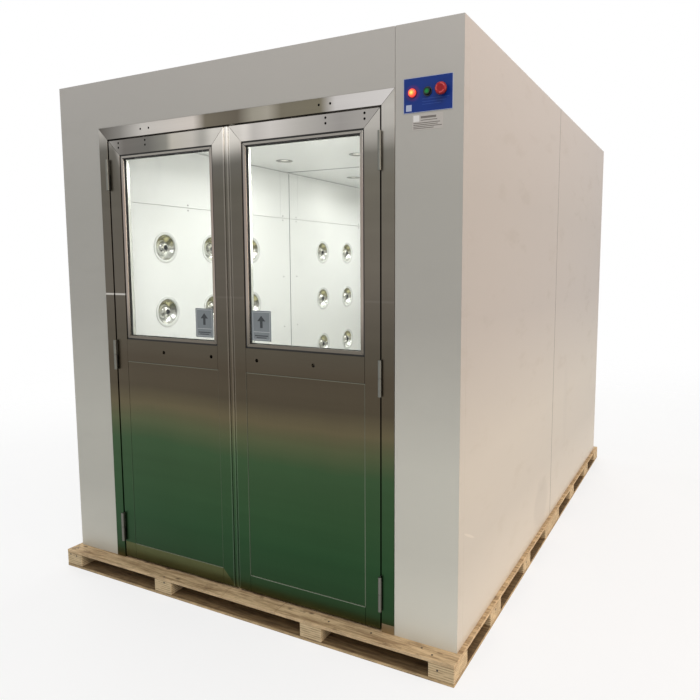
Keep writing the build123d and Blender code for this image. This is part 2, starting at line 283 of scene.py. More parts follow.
class Shader(NodeTree):
    """Node tree of one material, with the place on the part as x, y and z."""

    def __init__(self, name: str) -> None:
        """Starts an empty material.

        Args:
            name: Name of the material.
        """
        self.material = bpy.data.materials.new(name)
        self.material.use_nodes = True
        super().__init__(self.material.node_tree)
        self.place = self.node("ShaderNodeTexCoord").outputs["Object"]
        parts = self.node("ShaderNodeSeparateXYZ", {}, {0: self.place})
        self.x, self.y, self.z = (Wire(self, socket) for socket in parts.outputs)

    def scaled(self, stretch: Point) -> Socket:
        """Place on the part, multiplied on each axis."""
        sockets = {0: self.place, 1: stretch}
        return self.node("ShaderNodeVectorMath", {"operation": "MULTIPLY"}, sockets).outputs[0]

    def noise(self, stretch: Point | float, detail: float = 2.0, rough: float = 0.5) -> Wire:
        """Cloudy pattern.

        Args:
            stretch: Grains in a metre on each axis, or one number for all three.
            detail: Number of finer layers.
            rough: Strength of the finer layers.

        Returns:
            The pattern, mostly between 0.3 and 0.7.
        """
        vector = self.scaled(stretch if isinstance(stretch, tuple) else (stretch,) * 3)
        sockets = {"Vector": vector, "Scale": 1.0, "Detail": detail, "Roughness": rough}
        return Wire(self, self.node("ShaderNodeTexNoise", {}, sockets).outputs[0])

    def distance(self, x: float, z: float) -> Wire:
        """Distance from a point of the front, in X and Z."""
        return self.length(self.x - x, self.z - z)

    def across(self) -> Wire:
        """X as seen from outside the nearer doorway, growing to the right."""
        return self.x * (1.0 - 2.0 * (self.y > 0.0))

    def mix(self, share: Number, first: Feed, second: Feed, blend: str = "MIX") -> Socket:
        """Colour between two.

        Args:
            share: Share of the second colour.
            first: First colour.
            second: Second colour.
            blend: Blender's name of the way they mix.

        Returns:
            The mixed colour.
        """
        made = self.node(
            "ShaderNodeMix", {"data_type": "RGBA", "blend_type": blend}, {0: share, 6: first, 7: second}
        )
        return made.outputs[2]

    def ramp(self, share: Wire, stops: Sequence[Stop]) -> Socket:
        """Colour from stops along share."""
        return self.node("ShaderNodeValToRGB", {"stops": stops}, {0: share}).outputs[0]

    def tinted(self, colour: Feed, share: Wire) -> Socket:
        """Colour made darker or lighter by a factor."""
        grey = self.node("ShaderNodeCombineColor", {}, {0: share, 1: share, 2: share})
        return self.mix(1.0, colour, grey.outputs[0], "MULTIPLY")

    def bump(self, height: Wire, depth: float, strength: float = 1.0) -> Socket:
        """Normal of a relief that is depth metres deep."""
        made = self.node("ShaderNodeBump", {}, {"Strength": strength, "Distance": depth, "Height": height})
        return made.outputs[0]

    def finish(self, sockets: dict[str, Feed]) -> bpy.types.Material:
        """Ends in one Principled shader.

        Args:
            sockets: Its inputs by name.

        Returns:
            The finished material.
        """
        surface = self.node("ShaderNodeBsdfPrincipled", {}, sockets)
        self.node("ShaderNodeOutputMaterial", {}, {0: surface.outputs[0]})
        return self.material


@dataclass(frozen=True)
class JointLine:
    """Dark line where two sheets meet, by its distance from the module joint."""

    off: float
    half: float
    low: float
    high: float
    depth: float

    def mask(self, shader: Shader) -> Wire:
        """Share of darkening."""
        near = abs(abs(shader.y) - self.off) < self.half
        return near * shader.z.within((self.low + self.high) / 2, (self.high - self.low) / 2) * self.depth


@dataclass(frozen=True)
class Smear:
    """Grey rub mark on a side sheet."""

    side: int
    centre: tuple[float, float]
    half: tuple[float, float]
    depth: float
    slope: float = 0.0
    sheet_x: float = 0.94

    def mask(self, shader: Shader) -> Wire:
        """Share of darkening, less than nothing for a pale scratch.

        Args:
            shader: The material's nodes.

        Returns:
            The share, 0 away from the mark.
        """
        along = (shader.y - self.centre[0]) / self.half[0]
        up = (shader.z - self.centre[1] - (shader.y - self.centre[0]) * self.slope) / self.half[1]
        ragged = (shader.noise((9.0, 9.0, 14.0), 4.0, 0.6) - 0.5) * 1.1
        inside = 1.0 - (along * along + up * up + ragged).fade(0.35, 1.25)
        return inside * (shader.x * self.side > self.sheet_x) * self.depth


@dataclass(frozen=True)
class PowderCoat:
    """Powder-coated sheet with a fine orange peel; on the outer paint its tones by height, on the side and
    across the front are painted light.
    """

    name: str
    top: Colour
    middle: Colour
    foot: Colour
    roughness: float = 0.42
    joints: tuple[JointLine, ...] = ()
    smears: tuple[Smear, ...] = ()
    painted_light_slope: float = 0.0
    side_tones_with_painted_light: tuple[Colour, Colour, Colour] | None = None
    side_x: float = 0.9492
    full_height: float = 2.2

    @staticmethod
    def stops(top: Colour, middle: Colour, foot: Colour) -> list[Stop]:
        """Tones from the foot to the top of a wall, with a pale band of painted light just above the pallet.
        """
        # Painted light just above the pallet, where the wood shades the wall
        lowest = tuple(min(1.0, value * 1.22) for value in foot)
        return [(0.05, lowest), (0.18, foot), (0.32, foot), (0.55, middle), (0.75, middle), (1.0, top)]

    def make(self) -> bpy.types.Material:
        """Builds the material.

        Returns:
            The finished material.
        """
        shader = Shader(self.name)
        height = shader.z / self.full_height
        tone = shader.ramp(height, self.stops(self.top, self.middle, self.foot))
        cloud = shader.noise((1.3, 1.3, 0.9), 3.0)
        smear = shader.noise((4.0, 4.0, 11.0), 4.0, 0.6).fade(0.55, 0.72)
        peel = shader.noise(520.0, 1.0)
        wave = shader.noise((5.0, 5.0, 3.0), 1.0)
        share = 0.965 + cloud * 0.07 - smear * 0.012
        # Painted light: the side gets lit tones of its own, and the front grows lighter to the right and
        # darker to the left, most low down
        if self.side_tones_with_painted_light:
            on_side = abs(shader.x) > self.side_x
            tone = shader.mix(on_side, tone, shader.ramp(height, self.stops(*self.side_tones_with_painted_light)))
            painted_light_slope = shader.across() * (1.0 - shader.z.fade(0.4, 1.3)) * (1.0 - on_side)
            share = share * (1.0 + painted_light_slope * self.painted_light_slope)
        for mark in (*self.joints, *self.smears):
            share = share * (1.0 - mark.mask(shader))
        return shader.finish(
            {
                "Base Color": shader.tinted(tone, share),
                "Roughness": self.roughness + smear * 0.08 + (cloud - 0.5) * 0.06,
                "Normal": shader.bump(peel * 0.25 + wave * 3.0, 0.0004, 0.6),
                "Coat Weight": 0.15,
                "Coat Roughness": 0.25,
            }
        )


# Painted reflections in the brushed steel by height in metres: green floor reflection low down, grey in the
# middle, painted highlight at the head
STEEL_REFLECTIONS_BY_HEIGHT = tones(
    (0.080, 108, 102, 68),
    (0.094, 72, 80, 51),
    (0.125, 48, 70, 45),
    (0.170, 43, 69, 44),
    (0.300, 44, 73, 46),
    (0.450, 51, 78, 50),
    (0.640, 60, 84, 56),
    (0.730, 84, 90, 64),
    (0.800, 98, 90, 68),
    (0.880, 82, 74, 60),
    (1.000, 80, 72, 60),
    (1.080, 84, 78, 67),
    (1.300, 95, 89, 80),
    (1.700, 95, 91, 82),
    (1.790, 106, 103, 96),
    (1.870, 176, 172, 165),
    (1.930, 186, 182, 175),
    (2.000, 170, 166, 158),
)


@dataclass(frozen=True)
class BrushedSteel:
    """Brushed stainless steel, its grain upright on stiles and level on rails, with reflections, highlights
    and shade painted into its colour.
    """

    name: str
    rails: tuple[tuple[float, float], ...]
    window_inner: float
    window_outer: float
    window_top: float
    head: tuple[Stop, ...]
    strip: tuple[float, float] | None = None
    seam_highlights: tuple[float, float, float] = (0.0, 0.0, 0.0)
    kick_reflection: tuple[float, Colour] | None = None
    patch: tuple[float, Colour] | None = None
    holes: tuple[tuple[float, float], ...] = ()
    hole_shade_radius: float = 0.0044
    seam_half: float = 0.0015
    glint_height: float = 1.277
    stile_x: float = 0.588
    head_reach: float = 0.75
    scale: float = 2.1

    def beside(self, shader: Shader) -> Wire:
        """How far a point lies outside the window's width."""
        across = abs(shader.x)
        return (self.window_inner - across).most(across - self.window_outer).most(0.0)

    def rail_mask(self, shader: Shader) -> Wire:
        """Rails of a leaf, or the head of a casing.

        Args:
            shader: The material's nodes.

        Returns:
            1 on the rails or the head, 0 elsewhere.
        """
        beside = self.beside(shader)
        mask = shader.z - self.window_top > beside
        for low, high in self.rails:
            inside = (beside < 0.0001) * shader.z.within((low + high) / 2, (high - low) / 2)
            mask = mask.most(inside)
        return mask

    def seam_light(self, shader: Shader) -> Wire:
        """Light on the folded edges round the lower panel: meeting side, hinge side, foot and top.

        Args:
            shader: The material's nodes.

        Returns:
            Share of light.
        """
        across = abs(shader.x)
        low, high = self.rails[1][1], self.rails[0][0]
        upright = shader.z.within((low + high) / 2, (high - low) / 2)
        meeting = across.within(self.window_inner, self.seam_half) * upright * self.seam_highlights[0]
        hinge = across.within(self.window_outer, self.seam_half) * upright * self.seam_highlights[1]
        between = (across > self.window_inner) * (across < self.window_outer)
        foot = shader.z.within(low, self.seam_half) * between * self.seam_highlights[2]
        top = (abs(shader.z - high + 0.002) < 0.0013) * between * 0.35
        return meeting.most(hinge).most(foot) * (1.0 - shader.z.fade(0.35, 0.95) * 0.6) + top

    def strip_light(self, shader: Shader) -> Wire:
        """Soft light on the rounded edges of the meeting strip.

        Args:
            shader: The material's nodes.

        Returns:
            Share of light.
        """
        near, far = self.strip
        across = abs(shader.x)
        return (1.0 - abs(across - near).fade(0.002, 0.008)).most(1.0 - abs(across - far).fade(0.002, 0.006))

    def tone(self, shader: Shader, side: Wire, wave: Wire) -> Socket:
        """Painted reflections by height and along the head, with painted seam highlights, a painted glint, a
        painted reflection on the bottom rail, a pale patch at the right foot and painted shade in the holes.

        Args:
            shader: The material's nodes.
            side: Place across the doorway, as seen from outside it.
            wave: Slow waver of the tones.

        Returns:
            The colour, before its grain.
        """
        # Painted reflections by height; the leftmost stile is less bright at its top
        far_stile = 1.0 - side.fade(-0.63, -0.58)
        bent = shader.z + wave * 0.07 - far_stile * shader.z.fade(1.6, 1.8) * 0.10
        stops = [(height / self.scale, colour) for height, colour in STEEL_REFLECTIONS_BY_HEIGHT]
        tone = shader.ramp(bent / self.scale, stops)
        # Painted floor reflection on the bottom rail of the leaf, olive up to a mitre
        if self.kick_reflection:
            height, colour = self.kick_reflection
            mitre = (self.window_inner - abs(shader.x)).most(0.0) < height - shader.z
            tone = shader.mix(mitre * (shader.z < height), tone, colour)
        # Painted reflections along the head, above the window
        whole = self.head_reach * 2
        along = (side + self.head_reach) / whole
        row = [((place + self.head_reach) / whole, colour) for place, colour in self.head]
        tone = shader.mix(shader.z - self.window_top > self.beside(shader), tone, shader.ramp(along, row))
        # Painted highlights on the folded edges round the lower panel
        if self.rails:
            tone = shader.mix(self.seam_light(shader), tone, screen(150, 156, 140))
        glint = 1.0 - abs(shader.z - self.glint_height).fade(0.001, 0.006)
        tone = shader.mix(glint * (0.03 + (side < -self.stile_x) * 0.7), tone, screen(214, 210, 203))
        if self.patch:
            height, colour = self.patch
            tone = shader.mix((shader.z < height) * (side > 0.6) * 0.85, tone, colour)
        # Painted shade in the holes: a near-black disc round each
        for hole_x, hole_z in self.holes:
            rim = shader.length(abs(shader.x) - hole_x, shader.z - hole_z) < self.hole_shade_radius
            tone = shader.mix(rim, tone, (0.010, 0.010, 0.009, 1.0))
        return tone

    def make(self) -> bpy.types.Material:
        """Builds the material.

        Returns:
            The finished material.
        """
        shader = Shader(self.name)
        upright = shader.noise((900.0, 900.0, 7.0), 3.0, 0.6)
        level = shader.noise((7.0, 900.0, 900.0), 3.0, 0.6)
        mask = self.rail_mask(shader)
        hair = level * mask + upright * (1.0 - mask)
        side = shader.across()
        band = shader.noise((3.0, 3.0, 0.6), 2.0)
        wave = (shader.noise((2.6, 2.6, 1.0), 2.0) - 0.5) * shader.z.fade(0.1, 0.6)
        tone = self.tone(shader, side, wave)
        metal: Number = 1.0
        # Painted highlight on the stiles beside the window, towards the right of the doorway
        beside_window = shader.z.fade(1.10, 1.45) * (1.0 - shader.z.fade(1.78, 1.87))
        painted_highlight = 1.0 + side.fade(0.45, 0.62) * beside_window * 0.30
        # Painted highlights on the rounded edges of the meeting strip, which is less metallic there, and on
        # the tops of the meeting stiles
        if self.strip:
            light = self.strip_light(shader)
            metal = 1.0 - light * 0.8
            painted_highlight = painted_highlight + light * (0.35 + shader.z.fade(0.3, 0.9) * 0.55)
            top = (1.0 - abs(side).fade(0.07, 0.13)) * (shader.z + wave * 0.12).fade(1.80, 1.86)
            painted_highlight = painted_highlight + top * 0.55
        streak = shader.noise((0.5, 0.5, 15.0), 3.0)
        share = (0.90 + hair * 0.16 + (band - 0.5) * 0.14 + (streak - 0.5) * 0.26) * painted_highlight
        smudge = shader.noise(6.0, 4.0, 0.6).fade(0.5, 0.75)
        return shader.finish(
            {
                "Base Color": shader.tinted(tone, share),
                "Metallic": metal,
                "Roughness": 0.24 + hair * 0.14 + smudge * 0.08,
                "Normal": shader.bump(hair, 0.00005, 0.5),
            }
        )


@dataclass(frozen=True)
class Polished:
    """Polished metal with faint turning marks."""

    name: str
    colour: Colour
    roughness: float = 0.12

    def make(self) -> bpy.types.Material:
        """Builds the material.

        Returns:
            The finished material.
        """
        shader = Shader(self.name)
        marks = shader.noise(240.0, 3.0)
        cloud = shader.noise(24.0, 2.0)
        return shader.finish(
            {
                "Base Color": shader.tinted(self.colour, 0.88 + cloud * 0.2),
                "Metallic": 1.0,
                "Roughness": self.roughness + marks * 0.08 + cloud * 0.05,
                "Normal": shader.bump(marks, 0.00004, 0.4),
            }
        )


@dataclass(frozen=True)
class BowlSteel:
    """Polished nozzles in even rows with painted light: pale painted reflection on the flange, olive painted
    floor reflection on the upper bowl, a painted highlight ring at the lip and painted shade in the outlet.
    """

    name: str
    lowest: float = 0.548
    row_pitch: float = 0.313
    nearest: float = 0.377
    column_pitch: float = 0.325
    outlet: float = 0.0126
    ball_edge: tuple[float, float] = (0.0290, 0.0310)
    lip_highlight_radius: float = 0.0335
    flange_edge: tuple[float, float] = (0.0595, 0.0615)
    bore_x: float = 0.7040

    @staticmethod
    def local(shader: Shader, value: Wire, first: float, pitch: float) -> Wire:
        """Distance from the nearest nozzle's centre along one axis."""
        turns = (value - first) / pitch + 0.5
        return (shader.math("FRACT", turns) - 0.5) * pitch

    def make(self) -> bpy.types.Material:
        """Builds the material.

        Returns:
            The finished material.
        """
        shader = Shader(self.name)
        up = self.local(shader, shader.z, self.lowest, self.row_pitch)
        along = self.local(shader, abs(shader.y), self.nearest, self.column_pitch)
        radius = shader.length(up, along)
        marks = shader.noise(160.0, 3.0)
        cloud = shader.noise(34.0, 3.0, 0.6)
        share = (up + (cloud - 0.5) * 0.06) / 0.13 + 0.5
        # Painted reflections in the bowl: pale and grey low down, olive floor reflection higher up
        stops = tones(
            (0.04, 236, 237, 233),
            (0.22, 204, 205, 198),
            (0.34, 236, 237, 232),
            (0.46, 150, 148, 136),
            (0.56, 206, 205, 196),
            (0.64, 158, 155, 122),
            (0.80, 150, 146, 104),
            (0.94, 180, 176, 138),
        )
        # Painted reflections on the ball, a painted highlight ring at the lip and a pale painted reflection
        # on the flange; lip and flange are less metallic
        ball = 1.0 - radius.fade(*self.ball_edge)
        lip = 1.0 - abs(radius - self.lip_highlight_radius).fade(0.0014, 0.0032)
        flange = radius.fade(*self.flange_edge)
        ball_tone = shader.ramp(cloud, tones((0.38, 128, 127, 116), (0.58, 206, 206, 198)))
        tone = shader.mix(ball, shader.ramp(share, stops), ball_tone)
        tone = shader.mix(lip, tone, screen(240, 241, 236))
        tone = shader.mix(flange, tone, screen(226, 227, 223))
        # Painted shade in the outlet's bore: near black, not metallic
        painted_outlet_shade = (radius < self.outlet) * (abs(shader.x) > self.bore_x)
        metal = shader.tinted(tone, 0.8 + marks * 0.4)
        return shader.finish(
            {
                "Base Color": shader.mix(painted_outlet_shade, metal, (0.012, 0.012, 0.010, 1.0)),
                "Metallic": (0.75 - flange * 0.6 - lip * 0.35).most(0.0) * (1.0 - painted_outlet_shade),
                "Roughness": 0.16 + marks * 0.08 + painted_outlet_shade * 0.6,
                "Normal": shader.bump(cloud, 0.0006, 0.5),
            }
        )


@dataclass(frozen=True)
class Pane:
    """Clear float glass with a thin greenish film."""

    name: str = "clear_glass"

    def make(self) -> bpy.types.Material:
        """Builds the material.

        Returns:
            The finished material.
        """
        shader = Shader(self.name)
        film = shader.noise((7.0, 7.0, 5.0), 4.0, 0.6)
        shine = shader.node(
            "ShaderNodeBsdfPrincipled",
            {},
            {"Base Color": (0.90, 0.93, 0.92, 1.0), "Roughness": 0.03 + film * 0.05, "IOR": 1.5},
        )
        clear = shader.node("ShaderNodeBsdfTransparent", {}, {0: (0.985, 0.992, 0.985, 1.0)})
        facing = Wire(shader, shader.node("ShaderNodeLayerWeight", {}, {0: 0.5}).outputs["Facing"])
        share = 0.035 + shader.math("POWER", facing, 5.0) * 0.8 + film.fade(0.5, 0.8) * 0.03
        mixed = shader.blend(share, clear.outputs[0], shine.outputs[0])
        shader.node("ShaderNodeOutputMaterial", {}, {0: mixed})
        return shader.material


@dataclass(frozen=True)
class Plastic:
    """Moulded plastic with a soft grain."""

    name: str
    colour: Colour
    roughness: float = 0.35
    grain: float = 400.0

    def make(self) -> bpy.types.Material:
        """Builds the material.

        Returns:
            The finished material.
        """
        shader = Shader(self.name)
        grain = shader.noise(self.grain, 2.0)
        cloud = shader.noise(30.0, 2.0)
        return shader.finish(
            {
                "Base Color": shader.tinted(self.colour, 0.92 + cloud * 0.16),
                "Roughness": self.roughness + (grain - 0.5) * 0.12,
                "Normal": shader.bump(grain, 0.00006, 0.5),
            }
        )


@dataclass(frozen=True)
class Lens:
    """Opal lens of a ceiling lamp, lit from behind."""

    name: str = "lamp_lens"

    def make(self) -> bpy.types.Material:
        """Builds the material.

        Returns:
            The finished material.
        """
        shader = Shader(self.name)
        cloud = shader.noise(60.0, 2.0)
        return shader.finish(
            {
                "Base Color": shader.tinted((0.9, 0.9, 0.86, 1.0), 0.94 + cloud * 0.1),
                "Roughness": 0.3 + cloud * 0.1,
                "Emission Color": shader.tinted((1.0, 0.98, 0.88, 1.0), 0.9 + cloud * 0.2),
                "Emission Strength": 0.8,
            }
        )


@dataclass(frozen=True)
class SignalGlow:
    """Lit dome: yellow in the middle, red at the rim."""

    name: str
    x: float
    z: float
    radius: float

    def make(self) -> bpy.types.Material:
        """Builds the material.

        Returns:
            The finished material.
        """
        shader = Shader(self.name)
        share = shader.distance(self.x, self.z) / self.radius
        stops = [
            (0.0, (1.0, 0.80, 0.20, 1.0)),
            (0.30, (1.0, 0.50, 0.06, 1.0)),
            (0.62, (0.95, 0.10, 0.03, 1.0)),
            (1.0, (0.45, 0.01, 0.015, 1.0)),
        ]
        facets = shader.noise(350.0, 1.0)
        glow = shader.ramp(share + (facets - 0.5) * 0.12, stops)
        return shader.finish(
            {
                "Base Color": (0.5, 0.05, 0.03, 1.0),
                "Roughness": 0.18 + facets * 0.1,
                "Emission Color": glow,
                "Emission Strength": 1.25,
            }
        )


@dataclass(frozen=True)
class CapWithPaintedLight:
    """Green cap with a painted highlight in the middle and painted shade, nearly black, round its rim."""

    name: str
    x: float
    z: float
    radius: float

    def make(self) -> bpy.types.Material:
        """Builds the material.

        Returns:
            The finished material.
        """
        shader = Shader(self.name)
        share = shader.distance(self.x, self.z) / self.radius
        cloud = shader.noise(260.0, 2.0)
        # Painted highlight in the middle, painted shade towards the rim
        stops = tones(
            (0.0, 22, 142, 66),
            (0.42, 8, 116, 46),
            (0.66, 6, 78, 36),
            (0.80, 6, 30, 18),
            (1.0, 10, 14, 12),
        )
        return shader.finish(
            {
                "Base Color": shader.ramp(share + (cloud - 0.5) * 0.12, stops),
                "Roughness": 0.38 + cloud * 0.12,
                "Specular IOR Level": 0.3,
                "Normal": shader.bump(cloud, 0.00006, 0.5),
            }
        )


@dataclass(frozen=True)
class StopHead:
    """Red mushroom head with three pale arcs that show which way it turns, and painted shade on its rim and
    in its dish.
    """

    name: str
    x: float
    z: float
    arc_radius: float = 0.0138
    arc_half: float = 0.0013
    cap_y: float = -1.400
    rim_shade_edge: tuple[float, float] = (0.0163, 0.0188)
    dish_shade_edge: tuple[float, float] = (0.0085, 0.0112)

    def make(self) -> bpy.types.Material:
        """Builds the material.

        Returns:
            The finished material.
        """
        shader = Shader(self.name)
        off_x, off_z = shader.x - self.x, shader.z - self.z
        radius = shader.length(off_x, off_z)
        angle = shader.math("ARCTAN2", off_z, off_x)
        turn = shader.math("FRACT", angle / (math.tau / 3) + 1.0)
        arc = radius.within(self.arc_radius, self.arc_half) * turn.within(0.45, 0.30)
        arc = arc * (shader.y < self.cap_y)
        cloud = shader.noise(90.0, 2.0)
        # Painted shade on the rounded rim and in the shallow dish
        rim = radius.fade(*self.rim_shade_edge) * 0.45
        dish = (1.0 - radius.fade(*self.dish_shade_edge)) * 0.25
        colour = shader.tinted((0.36, 0.008, 0.014, 1.0), (0.86 + cloud * 0.28) * (1.0 - rim - dish))
        return shader.finish(
            {
                "Base Color": shader.mix(arc * 0.7, colour, screen(214, 110, 104)),
                "Roughness": 0.34 + cloud * 0.12,
                "Specular IOR Level": 0.3,
                "Normal": shader.bump(cloud, 0.00008, 0.5),
            }
        )


@dataclass(frozen=True)
class PrintedPlate:
    """Flat sheet with plain printed shapes: a border, bars and a blank square."""

    name: str
    low: tuple[float, float]
    high: tuple[float, float]
    field: Colour
    ink: Colour
    bars: tuple[Bar, ...]
    dark_bars: tuple[Bar, ...]
    border: float = 0.0
    inset: float = 0.0
    arrow: tuple[float, float, float] | None = None
    dark: Colour = (0.03, 0.03, 0.03, 1.0)
    roughness: float = 0.4
    halo: tuple[float, float] | None = None
    halo_edge: tuple[float, float] = (0.013, 0.030)

    def halo_mask(self, shader: Shader) -> Wire:
        """Share of red light that a lit lamp spills on the plate."""
        return (1.0 - shader.distance(*self.halo).fade(*self.halo_edge)) * 0.5

    def rectangle(self, shader: Shader, bar: Bar) -> Wire:
        """Shape of one bar.

        Args:
            shader: The material's nodes.
            bar: Its x0, z0, x1 and z1, from the plate's low corner.

        Returns:
            1 inside the bar, 0 elsewhere.
        """
        x0, z0, x1, z1 = bar
        wide = shader.x.within(self.low[0] + (x0 + x1) / 2, abs(x1 - x0) / 2)
        return wide * shader.z.within(self.low[1] + (z0 + z1) / 2, abs(z1 - z0) / 2)

    def edge_line(self, shader: Shader) -> Wire:
        """Border line, which runs inset from the edge.

        Args:
            shader: The material's nodes.

        Returns:
            1 on the line, 0 elsewhere.
        """
        centre_x, half_x = (self.low[0] + self.high[0]) / 2, (self.high[0] - self.low[0]) / 2 - self.inset
        centre_z, half_z = (self.low[1] + self.high[1]) / 2, (self.high[1] - self.low[1]) / 2 - self.inset
        inside = shader.x.within(centre_x, half_x) * shader.z.within(centre_z, half_z)
        core_x, core_z = half_x - self.border, half_z - self.border
        core = shader.x.within(centre_x, core_x) * shader.z.within(centre_z, core_z)
        return inside * (1.0 - core)

    def arrow_mask(self, shader: Shader) -> Wire:
        """Plain arrow that points up.

        Args:
            shader: The material's nodes.

        Returns:
            1 on the arrow, 0 elsewhere.
        """
        x, z, size = self.arrow
        off_x, off_z = abs(shader.x - (self.low[0] + x)), shader.z - (self.low[1] + z)
        tip = (off_x < (size - off_z) * 0.9) * (off_z > size * 0.1) * (off_z < size)
        stem = (off_x < size * 0.26) * off_z.within(-size * 0.42, size * 0.56)
        return tip.most(stem)

    def make(self) -> bpy.types.Material:
        """Builds the material.

        Returns:
            The finished material.
        """
        shader = Shader(self.name)
        cloud = shader.noise(45.0, 3.0)
        grain = shader.noise(700.0, 1.0)
        colour: Feed = shader.tinted(self.field, 0.92 + cloud * 0.16)
        light = [self.edge_line(shader)] if self.border else []
        light += [self.rectangle(shader, bar) for bar in self.bars]
        colour = shader.mix(reduce(Wire.most, light), colour, self.ink)
        dark = [self.arrow_mask(shader)] if self.arrow else []
        dark += [self.rectangle(shader, bar) for bar in self.dark_bars]
        colour = shader.mix(reduce(Wire.most, dark) * 0.85, colour, self.dark)
        if self.halo:
            colour = shader.mix(self.halo_mask(shader), colour, screen(126, 48, 112))
        return shader.finish(
            {
                "Base Color": colour,
                "Roughness": self.roughness + (cloud - 0.5) * 0.15,
                "Specular IOR Level": 0.25,
                "Normal": shader.bump(grain, 0.00003, 0.4),
            }
        )


@dataclass(frozen=True)
class Plywood:
    """Weathered plywood: grain, knots and stains on the faces, layers on the cut edges."""

    name: str
    pale: Colour
    brown: Colour
    layer: float
    wear: float
    edge: Colour | None = None

    def make(self) -> bpy.types.Material:
        """Builds the material.

        Returns:
            The finished material.
        """
        shader = Shader(self.name)
        normal = shader.node("ShaderNodeNewGeometry").outputs["Normal"]
        upward = Wire(shader, shader.node("ShaderNodeSeparateXYZ", {}, {0: normal}).outputs[2])
        flat = abs(upward) > 0.5
        grain = shader.noise((7.0, 70.0, 70.0), 6.0, 0.7)
        fine = shader.noise((50.0, 800.0, 800.0), 3.0, 0.65)
        patch = shader.noise((4.0, 8.0, 8.0), 3.0, 0.6)
        stain = shader.noise((14.0, 22.0, 22.0), 4.0, 0.65).fade(0.56, 0.70)
        cells = {"Vector": shader.scaled((8.0, 15.0, 15.0)), "Scale": 1.0}
        knot = Wire(shader, shader.node("ShaderNodeTexVoronoi", {}, cells).outputs[0])
        dark_knot = 1.0 - knot.fade(0.05, 0.15)
        wobble = (shader.noise((14.0, 14.0, 30.0), 2.0) - 0.5) * 0.0022
        saw = shader.math("FRACT", (shader.z + wobble) / self.layer)
        line = saw.within(0.5, 0.2) * shader.noise((24.0, 24.0, 60.0), 2.0).fade(0.3, 0.6)
        face = shader.mix(grain.fade(0.34, 0.66), self.pale, self.brown)
        face = shader.mix(stain * 0.55 * self.wear, face, screen(104, 82, 56))
        face = shader.mix(dark_knot * flat * 0.8, face, screen(78, 52, 32))
        dark_layer = shader.tinted(self.brown, 0.5 + fine * 0.3)
        edge = shader.mix(line * 0.55 + grain.fade(0.4, 0.75) * 0.3, self.edge or self.pale, dark_layer)
        colour = shader.mix(flat, edge, face)
        return shader.finish(
            {
                "Base Color": shader.tinted(colour, 0.66 + fine * 0.26 + patch * 0.42),
                "Roughness": 0.72 + fine * 0.18,
                "Normal": shader.bump(grain * 0.6 + fine * 0.4 + line * (1.0 - flat) * 0.7, 0.0012, 0.8),
            }
        )


# Modelling


def deselect() -> None:
    """Leaves nothing selected."""
    bpy.ops.object.select_all(action="DESELECT")


def choose(pieces: Sequence[bpy.types.Object]) -> None:
    """Leaves only these pieces selected, the first of them active.

    Args:
        pieces: The pieces.
    """
    deselect()
    for piece in pieces:
        piece.select_set(True)
    bpy.context.view_layer.objects.active = pieces[0]


def settle(piece: bpy.types.Object) -> bpy.types.Object:
    """Puts a piece's place, turn and size into its mesh.

    Args:
        piece: The piece.

    Returns:
        The same piece.
    """
    choose([piece])
    bpy.ops.object.transform_apply(location=True, rotation=True, scale=True)
    return piece


def block(name: str, low: Point, high: Point) -> bpy.types.Object:
    """Box between two corners.

    Args:
        name: Its name.
        low: Its lowest corner.
        high: Its highest corner.

    Returns:
        The box.
    """
    deselect()
    centre = tuple((a + b) / 2 for a, b in zip(low, high))
    bpy.ops.mesh.primitive_cube_add(size=1.0, location=centre)
    piece = bpy.context.object
    piece.name = piece.data.name = name
    piece.scale = tuple(b - a for a, b in zip(low, high))
    return settle(piece)


def rod(name: str, radius: float, low: float, high: float, sides: int = 48) -> bpy.types.Object:
    """Upright round bar at the origin.

    Args:
        name: Its name.
        radius: Its radius.
        low: Height of its foot.
        high: Height of its top.
        sides: Number of its sides.

    Returns:
        The bar.
    """
    deselect()
    bpy.ops.mesh.primitive_cylinder_add(
        vertices=sides, radius=radius, depth=high - low, location=(0.0, 0.0, (low + high) / 2)
    )
    piece = bpy.context.object
    piece.name = piece.data.name = name
    return settle(piece)


@contextmanager
def editing(piece: bpy.types.Object) -> Iterator[None]:
    """Edit mode on one piece with nothing selected, and object mode after it.

    Args:
        piece: The piece.

    Returns:
        A context to work in.
    """
    choose([piece])
    bpy.ops.object.mode_set(mode="EDIT")
    bpy.ops.mesh.select_all(action="DESELECT")
    yield
    bpy.ops.object.mode_set(mode="OBJECT")


def pick_faces(test: Callable[[Vector, Vector], bool]) -> None:
    """Selects faces.

    Args:
        test: Says yes or no to a face's centre and normal.
    """
    bpy.ops.mesh.select_mode(type="FACE")
    bpy.ops.mesh.select_all(action="DESELECT")
    data = bpy.context.edit_object.data
    mesh = bmesh.from_edit_mesh(data)
    for face in mesh.faces:
        face.select_set(test(face.calc_center_median(), face.normal))
    bmesh.update_edit_mesh(data)


def pick_edges(test: Callable[[Vector, Vector], bool]) -> None:
    """Selects edges.

    Args:
        test: Says yes or no to an edge's middle and direction.
    """
    bpy.ops.mesh.select_mode(type="EDGE")
    bpy.ops.mesh.select_all(action="DESELECT")
    data = bpy.context.edit_object.data
    mesh = bmesh.from_edit_mesh(data)
    for edge in mesh.edges:
        first, second = (vertex.co for vertex in edge.verts)
        edge.select_set(test((first + second) / 2, (second - first).normalized()))
    bmesh.update_edit_mesh(data)


def pick_level(up: float) -> None:
    """Selects the faces that look up, where up is 1, or down, where it is -1."""
    pick_faces(lambda centre, normal: normal.z * up > 0.9)


def inset(thickness: float, each: bool = False) -> None:
    """Insets the selected faces, each on its own or as one."""
    bpy.ops.mesh.inset(thickness=thickness, use_individual=each)


